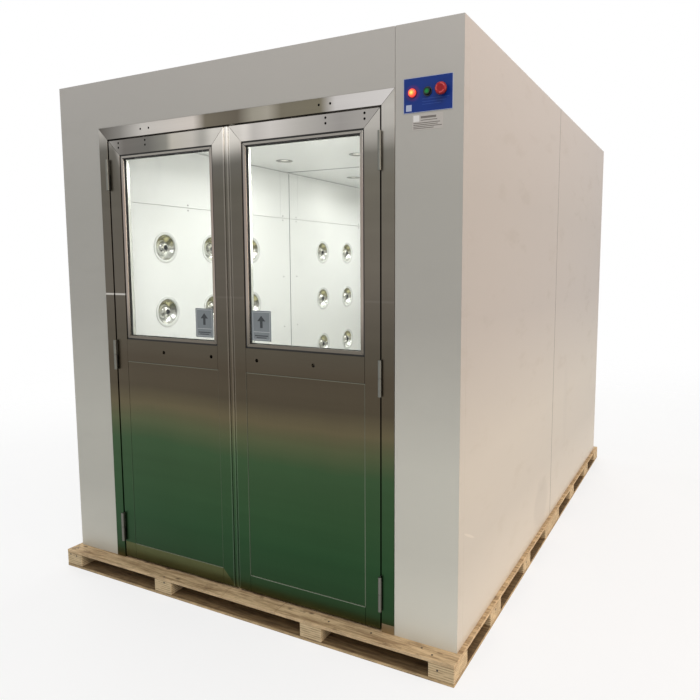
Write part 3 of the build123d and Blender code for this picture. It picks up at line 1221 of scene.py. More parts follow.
def round_picked(width: float, segments: int) -> None:
    """Rounds the selected edges."""
    bpy.ops.mesh.bevel(offset=width, segments=segments, affect="EDGES")


def push(rise: float, ratio: float = 1.0) -> None:
    """Extrudes the selected faces upwards and scales them about the upright axis.

    Args:
        rise: Step up, less than nothing for a step down.
        ratio: New size over the old one.
    """
    bpy.ops.mesh.extrude_region_move(TRANSFORM_OT_translate={"value": (0.0, 0.0, rise)})
    if ratio != 1.0:
        bpy.ops.transform.resize(value=(ratio, ratio, 1.0), center_override=(0.0, 0.0, 0.0))


def smooth(piece: bpy.types.Object, degrees: float = 32.0) -> bpy.types.Object:
    """Smooth shading across the flatter edges.

    Args:
        piece: The piece.
        degrees: Angle up to which an edge is smooth.

    Returns:
        The same piece.
    """
    choose([piece])
    bpy.ops.object.shade_smooth_by_angle(angle=math.radians(degrees))
    return piece


def join(parts: Sequence[bpy.types.Object], name: str) -> bpy.types.Object:
    """Makes one piece of several.

    Args:
        parts: The pieces, which are used up.
        name: Name of the joined piece.

    Returns:
        The joined piece, its place in its mesh.
    """
    choose(parts)
    if len(parts) > 1:
        bpy.ops.object.join()
    joined = bpy.context.view_layer.objects.active
    joined.name = joined.data.name = name
    return settle(joined)


def repeat(piece: bpy.types.Object, name: str, places: Iterable[Matrix]) -> bpy.types.Object:
    """Copies a piece to several places and joins the copies.

    Args:
        piece: The piece, made pointing up at the origin. It is used up.
        name: Name of the joined piece.
        places: One matrix for each copy.

    Returns:
        The joined piece, its places in its mesh.
    """
    copies = []
    for place in places:
        other = bpy.data.objects.new(name, piece.data.copy())
        bpy.context.collection.objects.link(other)
        other.matrix_world = place
        copies.append(other)
    bpy.data.objects.remove(piece, do_unlink=True)
    return join(copies, name)


def window_ring(name: str, low: Point, high: Point, width: float) -> bpy.types.Object:
    """Upright rectangular ring, with its opening along Y.

    Args:
        name: Its name.
        low: Its lowest corner.
        high: Its highest corner.
        width: Width of its four sides.

    Returns:
        The ring.
    """
    piece = block(name, low, high)
    with editing(piece):
        pick_faces(lambda centre, normal: abs(normal.y) > 0.9)
        inset(width, each=True)
        bpy.ops.mesh.bridge_edge_loops()
    return piece


def dress(piece: bpy.types.Object, material: bpy.types.Material) -> None:
    """Gives a piece or a CAD node its finish.

    Args:
        piece: The piece or the node's object.
        material: The finish.
    """
    if not piece.material_slots:
        piece.data.materials.append(material)
    for slot in piece.material_slots:
        slot.material = material


def add_rounding(piece: bpy.types.Object, width: float, segments: int) -> None:
    """Adds a modifier that rounds sharp edges.

    Args:
        piece: The piece or the CAD node.
        width: Width of the rounding.
        segments: Steps of the rounding.
    """
    rounding = piece.modifiers.new("round", "BEVEL")
    rounding.width = width
    rounding.segments = segments
    rounding.limit_method = "ANGLE"
    rounding.angle_limit = math.radians(35)
    rounding.use_clamp_overlap = False


def round_edges(node: bpy.types.Object, width: float, segments: int = 2) -> None:
    """Rounds a CAD node's sharp edges with live modifiers.

    Args:
        node: The CAD node.
        width: Width of the rounding.
        segments: Steps of the rounding.
    """
    weld = node.modifiers.new("weld", "WELD")
    weld.merge_threshold = MERGE
    add_rounding(node, width, segments)


def refined(node_name: str, name: str, width: float, segments: int = 2) -> bpy.types.Object:
    """Copy of a CAD node with clean faces and rounded edges.

    Args:
        node_name: The CAD node.
        name: Name of the copy.
        width: Width of the rounding.
        segments: Steps of the rounding.

    Returns:
        The copy, its modifier applied.
    """
    piece = bpy.data.objects.new(name, frame["nodes"][node_name].data.copy())
    bpy.context.collection.objects.link(piece)
    piece.data.name = name
    with editing(piece):
        bpy.ops.mesh.select_all(action="SELECT")
        bpy.ops.mesh.remove_doubles(threshold=MERGE)
        bpy.ops.mesh.dissolve_limited(angle_limit=math.radians(0.5))
    add_rounding(piece, width, segments)
    bpy.ops.object.modifier_apply(modifier="round")
    smooth(piece, 30.0)
    even = piece.modifiers.new("even", "WEIGHTED_NORMAL")
    even.weight = 100
    even.keep_sharp = True
    bpy.ops.object.modifier_apply(modifier="even")
    return piece


def fit(piece: bpy.types.Object, body: str, slot: str, material: bpy.types.Material, *nodes: str) -> None:
    """Dresses a new piece and ties it to its body.

    Args:
        piece: The new piece.
        body: The CAD body it moves with.
        slot: The record's material slot. Not used.
        material: Its finish.
        nodes: CAD nodes that it stands for.
    """
    dress(piece, material)
    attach(piece, body)
    if nodes:
        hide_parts(*nodes)
    log.info("%s: %d faces on %s", piece.name, len(piece.data.polygons), body)


# Finishes in use


@dataclass
class Finishes:
    """Every material that more than one piece shares."""

    paint: bpy.types.Material = field(init=False)
    inner_paint: bpy.types.Material = field(init=False)
    casing: bpy.types.Material = field(init=False)
    sheet: bpy.types.Material = field(init=False)
    trim: bpy.types.Material = field(init=False)
    hinge: bpy.types.Material = field(init=False)
    rubber_and_gap_shade: bpy.types.Material = field(init=False)
    glass: bpy.types.Material = field(init=False)
    lens: bpy.types.Material = field(init=False)
    black: bpy.types.Material = field(init=False)
    nail: bpy.types.Material = field(init=False)
    bowl: bpy.types.Material = field(init=False)
    deck: bpy.types.Material = field(init=False)
    shaded_board: bpy.types.Material = field(init=False)
    block: bpy.types.Material = field(init=False)
    leaves: dict[str, bpy.types.Material] = field(init=False)

    def __post_init__(self) -> None:
        """Builds the shared materials."""
        # Outer paint: its tones by height, its side tones and its tilt across the front hold painted light
        self.paint = PowderCoat(
            "outer_paint",
            screen(183, 178, 170),
            screen(170, 167, 158),
            screen(196, 194, 182),
            joints=(JointLine(off=0.0, half=0.0032, low=0.0, high=2.3, depth=0.62),),
            painted_light_slope=0.10,
            side_tones_with_painted_light=(screen(182, 173, 164), screen(168, 159, 149), screen(191, 183, 168)),
            smears=(
                Smear(side=1, centre=(-1.272, 0.457), half=(0.056, 0.006), depth=-0.16, slope=-0.495),
                Smear(side=1, centre=(-0.205, 0.213), half=(0.15, 0.14), depth=0.09),
                Smear(side=1, centre=(0.32, 0.62), half=(0.06, 0.24), depth=0.03),
            ),
        ).make()
        self.inner_paint = PowderCoat(
            "inner_paint",
            screen(244, 244, 242),
            screen(239, 240, 237),
            screen(233, 234, 230),
            roughness=0.35,
            joints=(
                JointLine(off=0.0, half=0.0034, low=0.1, high=1.96, depth=0.72),
                JointLine(off=0.0, half=0.011, low=1.9695, high=1.98, depth=0.85),
                JointLine(off=0.092, half=0.0014, low=1.705, high=1.965, depth=0.25),
                JointLine(off=0.7, half=0.7, low=1.9655, high=1.9705, depth=0.40),
            ),
        ).make()
        # Painted reflections along the casing head: bright and dark patches
        head = tones(
            (-0.70, 96, 92, 86),
            (-0.58, 132, 129, 124),
            (-0.45, 190, 186, 180),
            (-0.17, 200, 192, 184),
            (-0.11, 112, 105, 92),
            (0.05, 100, 93, 82),
            (0.12, 150, 145, 132),
            (0.19, 160, 154, 142),
            (0.25, 116, 110, 96),
            (0.42, 118, 112, 96),
            (0.48, 196, 192, 189),
            (0.70, 206, 202, 199),
        )
        self.casing = BrushedSteel(
            "casing_steel",
            rails=(),
            window_inner=0.0,
            window_outer=0.659,
            window_top=1.933,
            head=head,
            patch=(0.112, screen(176, 164, 142)),
            # Holes of the casing, where shade is painted
            holes=((0.4125, 1.960), (0.4595, 1.960)),
        ).make()
        rails = ((0.986, 1.082), (0.087, 0.155))
        # Painted reflections along the top rails of the leaves
        leaf_head_reflections = tones(
            (-0.66, 150, 147, 142),
            (-0.56, 112, 108, 103),
            (-0.42, 110, 108, 103),
            (-0.32, 138, 136, 128),
            (-0.29, 186, 181, 170),
            (-0.18, 190, 185, 177),
            (-0.14, 168, 165, 158),
            (0.05, 172, 168, 162),
            (0.20, 204, 199, 194),
            (0.34, 176, 172, 166),
            (0.50, 152, 148, 144),
            (0.60, 160, 156, 151),
        )
        # Holes of the door closers, where shade is painted
        closer_holes = tuple((x, z) for x in (0.594, 0.438) for z in (1.8955, 1.9145))
        self.leaves = {
            side: BrushedSteel(
                f"{side}_leaf_steel",
                rails=rails,
                window_inner=window_inner,
                window_outer=0.591,
                window_top=1.865,
                head=leaf_head_reflections,
                strip=strip,
                seam_highlights=seam_highlights,
                kick_reflection=kick_reflection,
                holes=closer_holes,
            ).make()
            # Per leaf: strengths of the painted seam highlights and the painted reflection on the left leaf's
            # bottom rail
            for side, window_inner, strip, seam_highlights, kick_reflection in (
                ("left", 0.0815, (0.0035, 0.0235), (0.18, 0.12, 0.6), (0.155, screen(86, 90, 58))),
                ("right", 0.0615, (-0.01, 0.0035), (0.45, 0.8, 1.0), None),
            )
        }
        self.sheet = Polished("sheet_steel", (0.42, 0.41, 0.39, 1.0), 0.32).make()
        self.trim = Polished("trim_steel", (0.30, 0.30, 0.28, 1.0), 0.3).make()
        self.bowl = BowlSteel("bowl_steel").make()
        self.hinge = Polished("hinge_steel", (0.17, 0.17, 0.15, 1.0), 0.42).make()
        # Black finish of the glazing lips, also used for the filler that paints the shade in the gap round
        # the beads
        self.rubber_and_gap_shade = Plastic("rubber_seal_and_gap_shade", (0.018, 0.018, 0.017, 1.0), 0.6).make()
        self.glass = Pane().make()
        self.lens = Lens().make()
        self.black = Plastic("black_plastic", (0.014, 0.014, 0.016, 1.0), 0.3).make()
        self.nail = Polished("nail_steel", (0.10, 0.085, 0.07, 1.0), 0.45).make()
        self.deck = Plywood("plywood_deck", screen(220, 192, 150), screen(150, 121, 86), 0.004, 1.0).make()
        # Bottom boards: darker faces as painted shade under the deck, with more stains and pale cut edges
        self.shaded_board = Plywood(
            "shaded_plywood_board", screen(140, 116, 80), screen(88, 68, 42), 0.006, 1.4, edge=screen(204, 176, 132)
        ).make()
        self.block = Plywood("plywood_block", screen(216, 193, 153), screen(158, 128, 90), 0.0085, 0.5).make()


# Sub-assemblies


@dataclass
class Shell:
    """Outer sheets, roof, floors and base of both modules."""

    finishes: Finishes
    fold_radius: float = 0.0016

    def dress(self) -> None:
        """Paints and rounds the sheets."""
        nodes = frame["nodes"]
        for name in ("front_wall", "rear_wall", "outer_walls_front", "outer_walls_rear", "roofs"):
            dress(nodes[name], self.finishes.paint)
            round_edges(nodes[name], self.fold_radius)
        for name in ("ceilings", "inner_walls_left", "inner_walls_right"):
            dress(nodes[name], self.finishes.inner_paint)
        for name in ("floors", "base_pan"):
            dress(nodes[name], self.finishes.sheet)
        log.info("shell dressed")


@dataclass
class Casing:
    """Steel surround of one doorway, with the fixed halves of its hinges."""

    finishes: Finishes
    end: End
    edge_radius: float = 0.0012
    hinge_radius: float = 0.0006

    def dress(self) -> None:
        """Gives the surround its brushed steel."""
        word = self.end.value
        surround = refined(f"{word}_casing", f"{word}_surround", self.edge_radius)
        fit(surround, "cabinet", "stainless", self.finishes.casing, f"{word}_casing")
        posts = refined(f"{word}_hinge_posts", f"{word}_hinge_pins", self.hinge_radius)
        fit(posts, "cabinet", "polished_steel", self.finishes.hinge, f"{word}_hinge_posts")
        log.info("%s casing dressed", word)


@dataclass
class DoorLeaf:
    """One door leaf: steel frame, glass with beads, glazing lips and a black filler for the shade in the gap
    round the beads, and its notice.
    """

    finishes: Finishes
    end: End
    side: Side
    bead_width: float = 0.014
    lip_width: float = 0.0014
    gap_shade_width: float = 0.004
    gap_shade_sunk: float = 0.0022
    edge_radius: float = 0.0011
    hinge_radius: float = 0.0006
    bead_rounding: float = 0.0032
    mitre_half: float = 0.0007
    shade_top: float = 0.0018
    shade_low: float = 0.0098

    @property
    def word(self) -> str:
        """Start of this leaf's node names."""
        return f"{self.end.value}_{self.side.value}"

    @property
    def body(self) -> str:
        """CAD body that this leaf moves with."""
        return f"{self.word}_leaf"

    def layers(self) -> tuple[tuple[float, float], tuple[float, float]]:
        """Y spans of the beads on both sides of the glass.

        Returns:
            The span on the side of smaller Y, then the other.
        """
        low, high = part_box(f"{self.word}_beads")
        glass_low, glass_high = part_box(f"{self.word}_glass")
        return (low[1], glass_low[1]), (glass_high[1], high[1])

    def build_beads(self) -> None:
        """Steel beads with rounded faces, on both sides of the glass."""
        low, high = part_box(f"{self.word}_beads")
        parts = []
        for y0, y1 in self.layers():
            bead = window_ring("bead", (low[0], y0, low[2]), (high[0], y1, high[2]), self.bead_width)
            outer = y0 if y0 == low[1] else y1
            with editing(bead):
                pick_edges(
                    lambda middle, along: abs(middle.y - outer) < NEAR and abs(along.y) < 0.1
                    and not self.across(middle, low, high)
                )
                round_picked(self.bead_rounding, 4)
            parts.append(bead)
        piece = join(parts, f"{self.word}_bead_profile")
        fit(smooth(piece), self.body, "stainless", self.bead_steel(low, high), f"{self.word}_beads")

    @staticmethod
    def across(middle: Vector, low: Vector, high: Vector) -> bool:
        """Tells the edges that cross the bead's face at a corner.

        Args:
            middle: Middle of the edge.
            low: Lowest corner of the bead.
            high: Highest corner of the bead.

        Returns:
            True for an edge across the face.
        """
        from_side = min(abs(middle.x - low[0]), abs(middle.x - high[0]))
        from_foot = min(abs(middle.z - low[2]), abs(middle.z - high[2]))
        return min(from_side, from_foot) >= NEAR and abs(from_side - from_foot) < NEAR

    def bead_steel(self, low: Vector, high: Vector) -> bpy.types.Material:
        """Bead finish with painted reflections by height, painted shade along the top bead, a fine mitre line
        at each corner, and pale behind the glass.

        Args:
            low: Lowest corner of the bead.
            high: Highest corner of the bead.

        Returns:
            The finished material.
        """
        shader = Shader(f"{self.word}_bead_steel")
        from_side = (shader.x - low[0]).least(high[0] - shader.x)
        from_foot = (shader.z - low[2]).least(high[2] - shader.z)
        mitre = abs(from_side - from_foot) < self.mitre_half
        # Painted reflections in the bead by height
        bead_reflections_by_height = tones(
            (0.45, 104, 98, 89),
            (0.53, 112, 106, 97),
            (0.60, 160, 150, 140),
            (0.80, 150, 138, 130),
            (0.90, 150, 147, 140),
        )
        tone = shader.ramp(shader.z / BrushedSteel.scale, bead_reflections_by_height)
        from_top = high[2] - shader.z
        low_band = (from_top > self.shade_low) * (from_top < self.bead_width + 0.0008)
        shade = low_band.most(from_top < self.shade_top) * (from_side > from_top)
        glass_inner = min(abs(corner[1]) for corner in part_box(f"{self.word}_glass"))
        behind = abs(shader.y) < glass_inner + NEAR
        tone = shader.mix(behind, tone, screen(236, 236, 230))
        hair = shader.noise((900.0, 900.0, 9.0), 3.0)
        dark = mitre.most(shade * 0.93) * (1.0 - behind)
        colour = shader.mix(dark, shader.tinted(tone, 0.85 + hair * 0.25), (0.02, 0.02, 0.02, 1.0))
        return shader.finish(
            {
                "Base Color": colour,
                "Metallic": 1.0,
                "Roughness": 0.16 + hair * 0.1,
                "Normal": shader.bump(hair, 0.00004, 0.4),
            }
        )

    def build_lips_and_gap_shade(self) -> None:
        """Black filler in the gap between frame and bead, which stands for the shade there, and the black lip
        on the glass.
        """
        low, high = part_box(f"{self.word}_beads")
        (front, near_glass), (past_glass, rear) = self.layers()
        parts = []
        for gap_shade, lip in (
            ((front + self.gap_shade_sunk, near_glass), (near_glass - self.lip_width, near_glass)),
            ((past_glass, rear - self.gap_shade_sunk), (past_glass, past_glass + self.lip_width)),
        ):
            # The first ring is painted shade: a black filler in the gap round the bead; the second is the
            # glazing lip
            for name, (y0, y1), out, width in (
                ("gap_shade", gap_shade, self.gap_shade_width, self.gap_shade_width),
                ("lip", lip, -self.bead_width, self.lip_width),
            ):
                corners = (low[0] - out, y0, low[2] - out), (high[0] + out, y1, high[2] + out)
                parts.append(window_ring(name, *corners, width))
        piece = join(parts, f"{self.word}_window_lips_and_gap_shade")
        fit(piece, self.body, "black_plastic", self.finishes.rubber_and_gap_shade)

    def dress(self) -> None:
        """Dresses the CAD nodes of the leaf."""
        nodes = frame["nodes"]
        leaf = refined(f"{self.word}_frame", f"{self.word}_folded_frame", self.edge_radius)
        fit(leaf, self.body, "stainless", self.finishes.leaves[self.side.value], f"{self.word}_frame")
        sleeves = refined(f"{self.word}_hinges", f"{self.word}_hinge_sleeves", self.hinge_radius)
        fit(sleeves, self.body, "polished_steel", self.finishes.hinge, f"{self.word}_hinges")
        dress(nodes[f"{self.word}_glass"], self.finishes.glass)
        low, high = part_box(f"{self.word}_notice")
        notice = PrintedPlate(
            f"{self.word}_notice_face",
            (low[0], low[2]),
            (high[0], high[2]),
            screen(128, 134, 136),
            screen(196, 200, 198),
            border=0.0016,
            inset=0.005,
            bars=((0.008, 0.034, 0.084, 0.0358),),
            dark_bars=((0.014, 0.018, 0.078, 0.022), (0.022, 0.011, 0.070, 0.0142)),
            arrow=(0.046, 0.074, 0.024),
            dark=screen(40, 42, 44),
        )
        dress(nodes[f"{self.word}_notice"], notice.make())
        log.info("%s dressed", self.word)

    def build(self) -> None:
        """Builds and dresses the leaf."""
        self.build_beads()
        self.build_lips_and_gap_shade()
        self.dress()


@dataclass
class NozzleWall:
    """Air nozzles on one inner wall: a polished bowl with a ball in it."""

    finishes: Finishes
    side: Side
    wall_x: float = 0.707
    distances: tuple[float, ...] = (0.377, 0.702, 1.027)
    heights: tuple[float, ...] = (0.548, 0.861, 1.174, 1.487)
    flange_radius: float = 0.075
    flange_proud: float = 0.003
    bowl_radius: float = 0.0635
    sleeve_radius: float = 0.066
    sleeve_depth: float = 0.030
    bowl: tuple[tuple[float, float], ...] = (
        (0.0605, -0.003),
        (0.0560, -0.010),
        (0.0500, -0.017),
        (0.0430, -0.023),
        (0.0364, -0.028),
    )
    ball_radius: float = 0.036
    ball_depth: float = 0.033
    outlet_angle: float = math.radians(18.0)
    lip_rounding: float = 0.0012

    def places(self) -> list[Matrix]:
        """Places of every nozzle on this wall.

        Returns:
            Their placing matrices.
        """
        sign, turn = (-1, Turn.TO_RIGHT) if self.side is Side.LEFT else (1, Turn.TO_LEFT)
        return [
            turn.at((sign * self.wall_x, end * distance, height))
            for end in (-1, 1)
            for distance in self.distances
            for height in self.heights
        ]

    def build_rings(self) -> None:
        """Flange and bowl, shaped from a flat round bar."""
        piece = rod("nozzle_flange", self.flange_radius, 0.0, self.flange_proud)
        with editing(piece):
            pick_level(-1.0)
            inset(self.flange_radius - self.sleeve_radius)
            push(-self.sleeve_depth)
            pick_level(1.0)
            inset(self.flange_radius - self.bowl_radius)
            radius, height = self.bowl_radius, self.flange_proud
            for next_radius, next_height in self.bowl:
                push(next_height - height, next_radius / radius)
                radius, height = next_radius, next_height
            pick_faces(
                lambda centre, normal: abs(normal.z) > 0.9
                and (abs(centre.z - height) < NEAR or abs(centre.z + self.sleeve_depth) < NEAR)
                and math.hypot(centre.x, centre.y) < 0.001
            )
            bpy.ops.mesh.bridge_edge_loops()
            pick_edges(
                lambda middle, along: abs(middle.z - self.flange_proud) < 0.0002 and abs(along.z) < 0.1
                and math.hypot(middle.x, middle.y) > self.bowl[0][0]
            )
            round_picked(self.lip_rounding, 3)
        name = f"nozzle_bowls_{self.side.value}"
        joined = repeat(smooth(piece, 40.0), name, self.places())
        fit(joined, "cabinet", "polished_steel", self.finishes.bowl, f"nozzle_rings_{self.side.value}")

    def build_balls(self) -> None:
        """Ball with a bored outlet and a rounded lip."""
        deselect()
        bpy.ops.mesh.primitive_uv_sphere_add(
            segments=32, ring_count=20, radius=self.ball_radius, location=(0.0, 0.0, -self.ball_depth)
        )
        piece = bpy.context.object
        piece.name = "nozzle_ball"
        settle(piece)
        bore = self.ball_radius * math.sin(self.outlet_angle)
        lip = self.ball_radius * math.cos(self.outlet_angle)

        def at_lip(middle: Vector, along: Vector) -> bool:
            """True for the edges round the outlet, at both ends of its bore."""
            return abs(abs(middle.z + self.ball_depth) - lip) < 0.0003 and abs(along.z) < 0.1

        with editing(piece):
            pick_faces(lambda centre, normal: math.hypot(centre.x, centre.y) < bore * 0.97)
            bpy.ops.mesh.delete(type="FACE")
            pick_edges(at_lip)
            bpy.ops.mesh.bridge_edge_loops()
            pick_edges(at_lip)
            round_picked(self.lip_rounding, 3)
        name = f"nozzle_outlets_{self.side.value}"
        joined = repeat(smooth(piece, 40.0), name, self.places())
        fit(joined, "cabinet", "polished_steel", self.finishes.bowl, f"nozzle_balls_{self.side.value}")

    def build(self) -> None:
        """Builds rings and balls."""
        self.build_rings()
        self.build_balls()


@dataclass
class WallScrews:
    """Small domed screws that hold the inner wall panels."""

    finishes: Finishes
    radius: float = 0.0037
    height: float = 0.0016
    wall_x: float = 0.707
    columns: tuple[float, ...] = (0.070, 0.870, 1.250)
    rows: tuple[float, ...] = (0.200, 1.020, 1.330, 1.675, 1.701)
    rounding: float = 0.0011
    dish_rim: float = 0.0012
    dish_depth: float = 0.0006
    nozzle_column: float = 0.870
    nozzle_span: tuple[float, float] = (1.0, 1.4)

    def build(self) -> None:
        """Models one screw and sets it at every place."""
        piece = rod("screw", self.radius, 0.0, self.height, 20)
        with editing(piece):
            pick_edges(lambda middle, along: middle.z > self.height * 0.9)
            round_picked(self.rounding, 3)
            pick_faces(lambda centre, normal: normal.z > 0.99)
            inset(self.dish_rim)
            push(-self.dish_depth)
        places = [
            turn.at((sign * self.wall_x, end * column, row))
            for sign, turn in ((-1, Turn.TO_RIGHT), (1, Turn.TO_LEFT))
            for end in (-1, 1)
            for column in self.columns
            for row in self.rows
            if not (column == self.nozzle_column and self.nozzle_span[0] < row < self.nozzle_span[1])
        ]
        fit(repeat(smooth(piece), "wall_screws", places), "cabinet", "polished_steel", self.finishes.hinge)


@dataclass
class CeilingLamps:
    """Recessed lamps: rounded trim rings and lit lenses."""

    finishes: Finishes
    ceiling_z: float = 1.971
    from_joint: float = 0.380
    spread: float = 0.463
    radius: float = 0.046
    bore: float = 0.036
    sleeve_wall: float = 0.003
    sleeve_depth: float = 0.015
    proud: float = 0.0025
    rounding: float = 0.0011

    def places(self) -> list[Matrix]:
        """Places of the lamps, which point down into the cabin.

        Returns:
            Their placing matrices.
        """
        return [
            Turn.DOWN.at((x, y, self.ceiling_z))
            for x in (-self.spread, 0.0, self.spread)
            for y in (-self.from_joint, self.from_joint)
        ]

    def build(self) -> None:
        """Builds the trims and dresses the lenses."""
        piece = rod("trim", self.radius, 0.0, self.proud)
        with editing(piece):
            pick_level(-1.0)
            inset(self.radius - self.bore - self.sleeve_wall)
            push(-self.sleeve_depth)
            pick_level(1.0)
            inset(self.radius - self.bore)
            pick_faces(
                lambda centre, normal: math.hypot(centre.x, centre.y) < 0.001 and abs(normal.z) > 0.9
            )
            bpy.ops.mesh.bridge_edge_loops()
            pick_edges(lambda middle, along: middle.z > self.proud - 0.0001 and abs(along.z) < 0.1)
            round_picked(self.rounding, 3)
        joined = repeat(smooth(piece, 40.0), "lamp_trim_rings", self.places())
        fit(joined, "cabinet", "polished_steel", self.finishes.trim, "lamp_trims")
        dress(frame["nodes"]["lamp_lenses"], self.finishes.lens)


@dataclass
class ControlPanel:
    """Blue plate on the front with a lamp, a push button and an emergency stop."""

    finishes: Finishes
    dome_radius: float = 0.0138
    dome_height: float = 0.013
    glow_radius: float = 0.0140
    dome_rounding: float = 0.0078
    cap_radius: float = 0.0115
    cap_foot: float = 0.0035
    cap_top: float = 0.0105
    cap_rim: float = 0.0028
    cap_dish: float = 0.0009
    cap_rounding: float = 0.0013
    neck_radius: float = 0.010
    neck_foot: float = 0.0053
    neck_top: float = 0.0165
    head_profile: tuple[tuple[float, float], ...] = (
        (0.0198, 0.0),
        (0.0200, 0.0022),
        (0.0190, 0.0034),
        (0.0164, 0.0026),
        (0.0138, 0.0011),
        (0.0118, -0.0007),
    )

    @staticmethod
    def middle(node: str) -> Vector:
        """Middle of a CAD node's box."""
        low, high = (Vector(corner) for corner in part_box(node))
        return (low + high) / 2

    @property
    def face_y(self) -> float:
        """Outer face of the plate."""
        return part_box("control_plate")[0][1]

    @property
    def height_z(self) -> float:
        """Height of the row of controls."""
        return self.middle("push_button").z

    @property
    def signal_x(self) -> float:
        """Place of the lamp."""
        return self.middle("signal_lamp").x

    @property
    def button_x(self) -> float:
        """Place of the push button."""
        return self.middle("push_button").x

    @property
    def stop_x(self) -> float:
        """Place of the emergency stop."""
        return self.middle("emergency_stop").x

    def at(self, x: float) -> Matrix:
        """Placing matrix on the plate, pointing out of the front."""
        return Turn.TO_FRONT.at((x, self.face_y, self.height_z))

    def build_signal(self) -> None:
        """Domed lens of the signal lamp."""
        piece = rod("signal", self.dome_radius, 0.0, self.dome_height, 40)
        with editing(piece):
            pick_edges(lambda middle, along: middle.z > self.dome_height - 0.0001)
            round_picked(self.dome_rounding, 8)
        joined = repeat(smooth(piece, 60.0), "signal_dome", [self.at(self.signal_x)])
        glow = SignalGlow("signal_glow", self.signal_x, self.height_z, self.glow_radius).make()
        fit(joined, "cabinet", "signal_orange", glow, "signal_lamp")

    def build_button(self) -> None:
        """Green cap with a shallow dish."""
        piece = rod("cap", self.cap_radius, self.cap_foot, self.cap_top, 40)
        with editing(piece):
            pick_level(1.0)
            inset(self.cap_rim)
            push(-self.cap_dish, 0.86)
            pick_edges(
                lambda middle, along: middle.z > self.cap_top - 0.0001
                and math.hypot(middle.x, middle.y) > self.cap_radius - 0.001
            )
            round_picked(self.cap_rounding, 4)
        joined = repeat(smooth(piece, 50.0), "start_cap", [self.at(self.button_x)])
        green = CapWithPaintedLight("button_green", self.button_x, self.height_z, self.cap_radius).make()
        fit(joined, "start_button", "button_green", green, "push_button")

    def build_stop(self) -> None:
        """Mushroom head with a rounded rim, on its neck."""
        piece = rod("mushroom", self.neck_radius, self.neck_foot, self.neck_top)
        with editing(piece):
            pick_level(1.0)
            radius = self.neck_radius
            for next_radius, rise in self.head_profile:
                push(rise, next_radius / radius)
                radius = next_radius
            push(-0.0004, 0.55)
        joined = repeat(smooth(piece, 50.0), "stop_mushroom", [self.at(self.stop_x)])
        red = StopHead("stop_red", self.stop_x, self.height_z).make()
        fit(joined, "stop_button", "stop_red", red, "emergency_stop")

    def build_bezels(self) -> None:
        """Black bezels of lamp and button, and the collar of the stop."""
        parts = []
        rounding = 0.0009
        for x, radius, bore, height in (
            (self.signal_x, 0.015, 0.0139, 0.0036),
            (self.button_x, 0.015, 0.012, 0.004),
            (self.stop_x, 0.0143, 0.0103, 0.006),
        ):
            ring = rod("ring", radius, 0.0, height, 40)
            with editing(ring):
                pick_faces(lambda centre, normal: abs(normal.z) > 0.9)
                inset(radius - bore, each=True)
                bpy.ops.mesh.bridge_edge_loops()
                pick_edges(lambda middle, along: middle.z > height - 0.0001 and abs(along.z) < 0.1)
                round_picked(rounding, 3)
            parts.append(repeat(smooth(ring, 40.0), "bezel", [self.at(x)]))
        piece = join(parts, "control_rings")
        fit(piece, "cabinet", "black_plastic", self.finishes.black, "control_bezels")

    def dress(self) -> None:
        """Prints the plate and the label below it."""
        nodes = frame["nodes"]
        low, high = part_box("control_plate")
        plate = PrintedPlate(
            "plate_face",
            (low[0], low[2]),
            (high[0], high[2]),
            screen(15, 48, 122),
            screen(176, 184, 204),
            border=0.0013,
            bars=((0.009, 0.006, 0.029, 0.026),),
            dark_bars=(
                (0.066, 0.040, 0.160, 0.0414),
                (0.066, 0.031, 0.148, 0.0322),
                (0.066, 0.023, 0.132, 0.0242),
            ),
            dark=screen(58, 86, 156),
            roughness=0.32,
            halo=(self.signal_x, self.height_z),
        )
        dress(nodes["control_plate"], plate.make())
        low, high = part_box("label_plate")
        label = PrintedPlate(
            "label_face",
            (low[0], low[2]),
            (high[0], high[2]),
            screen(186, 180, 172),
            screen(222, 219, 214),
            bars=((0.004, 0.027, 0.025, 0.047),),
            dark_bars=(
                (0.030, 0.036, 0.084, 0.043),
                (0.030, 0.029, 0.088, 0.0315),
                (0.004, 0.0205, 0.098, 0.0232),
                (0.004, 0.0150, 0.090, 0.0176),
                (0.004, 0.0095, 0.104, 0.0121),
                (0.004, 0.0040, 0.076, 0.0066),
            ),
            dark=screen(98, 92, 86),
        )
        dress(nodes["label_plate"], label.make())

    def build(self) -> None:
        """Builds and dresses the panel."""
        self.build_signal()
        self.build_button()
        self.build_stop()
        self.build_bezels()
        self.dress()


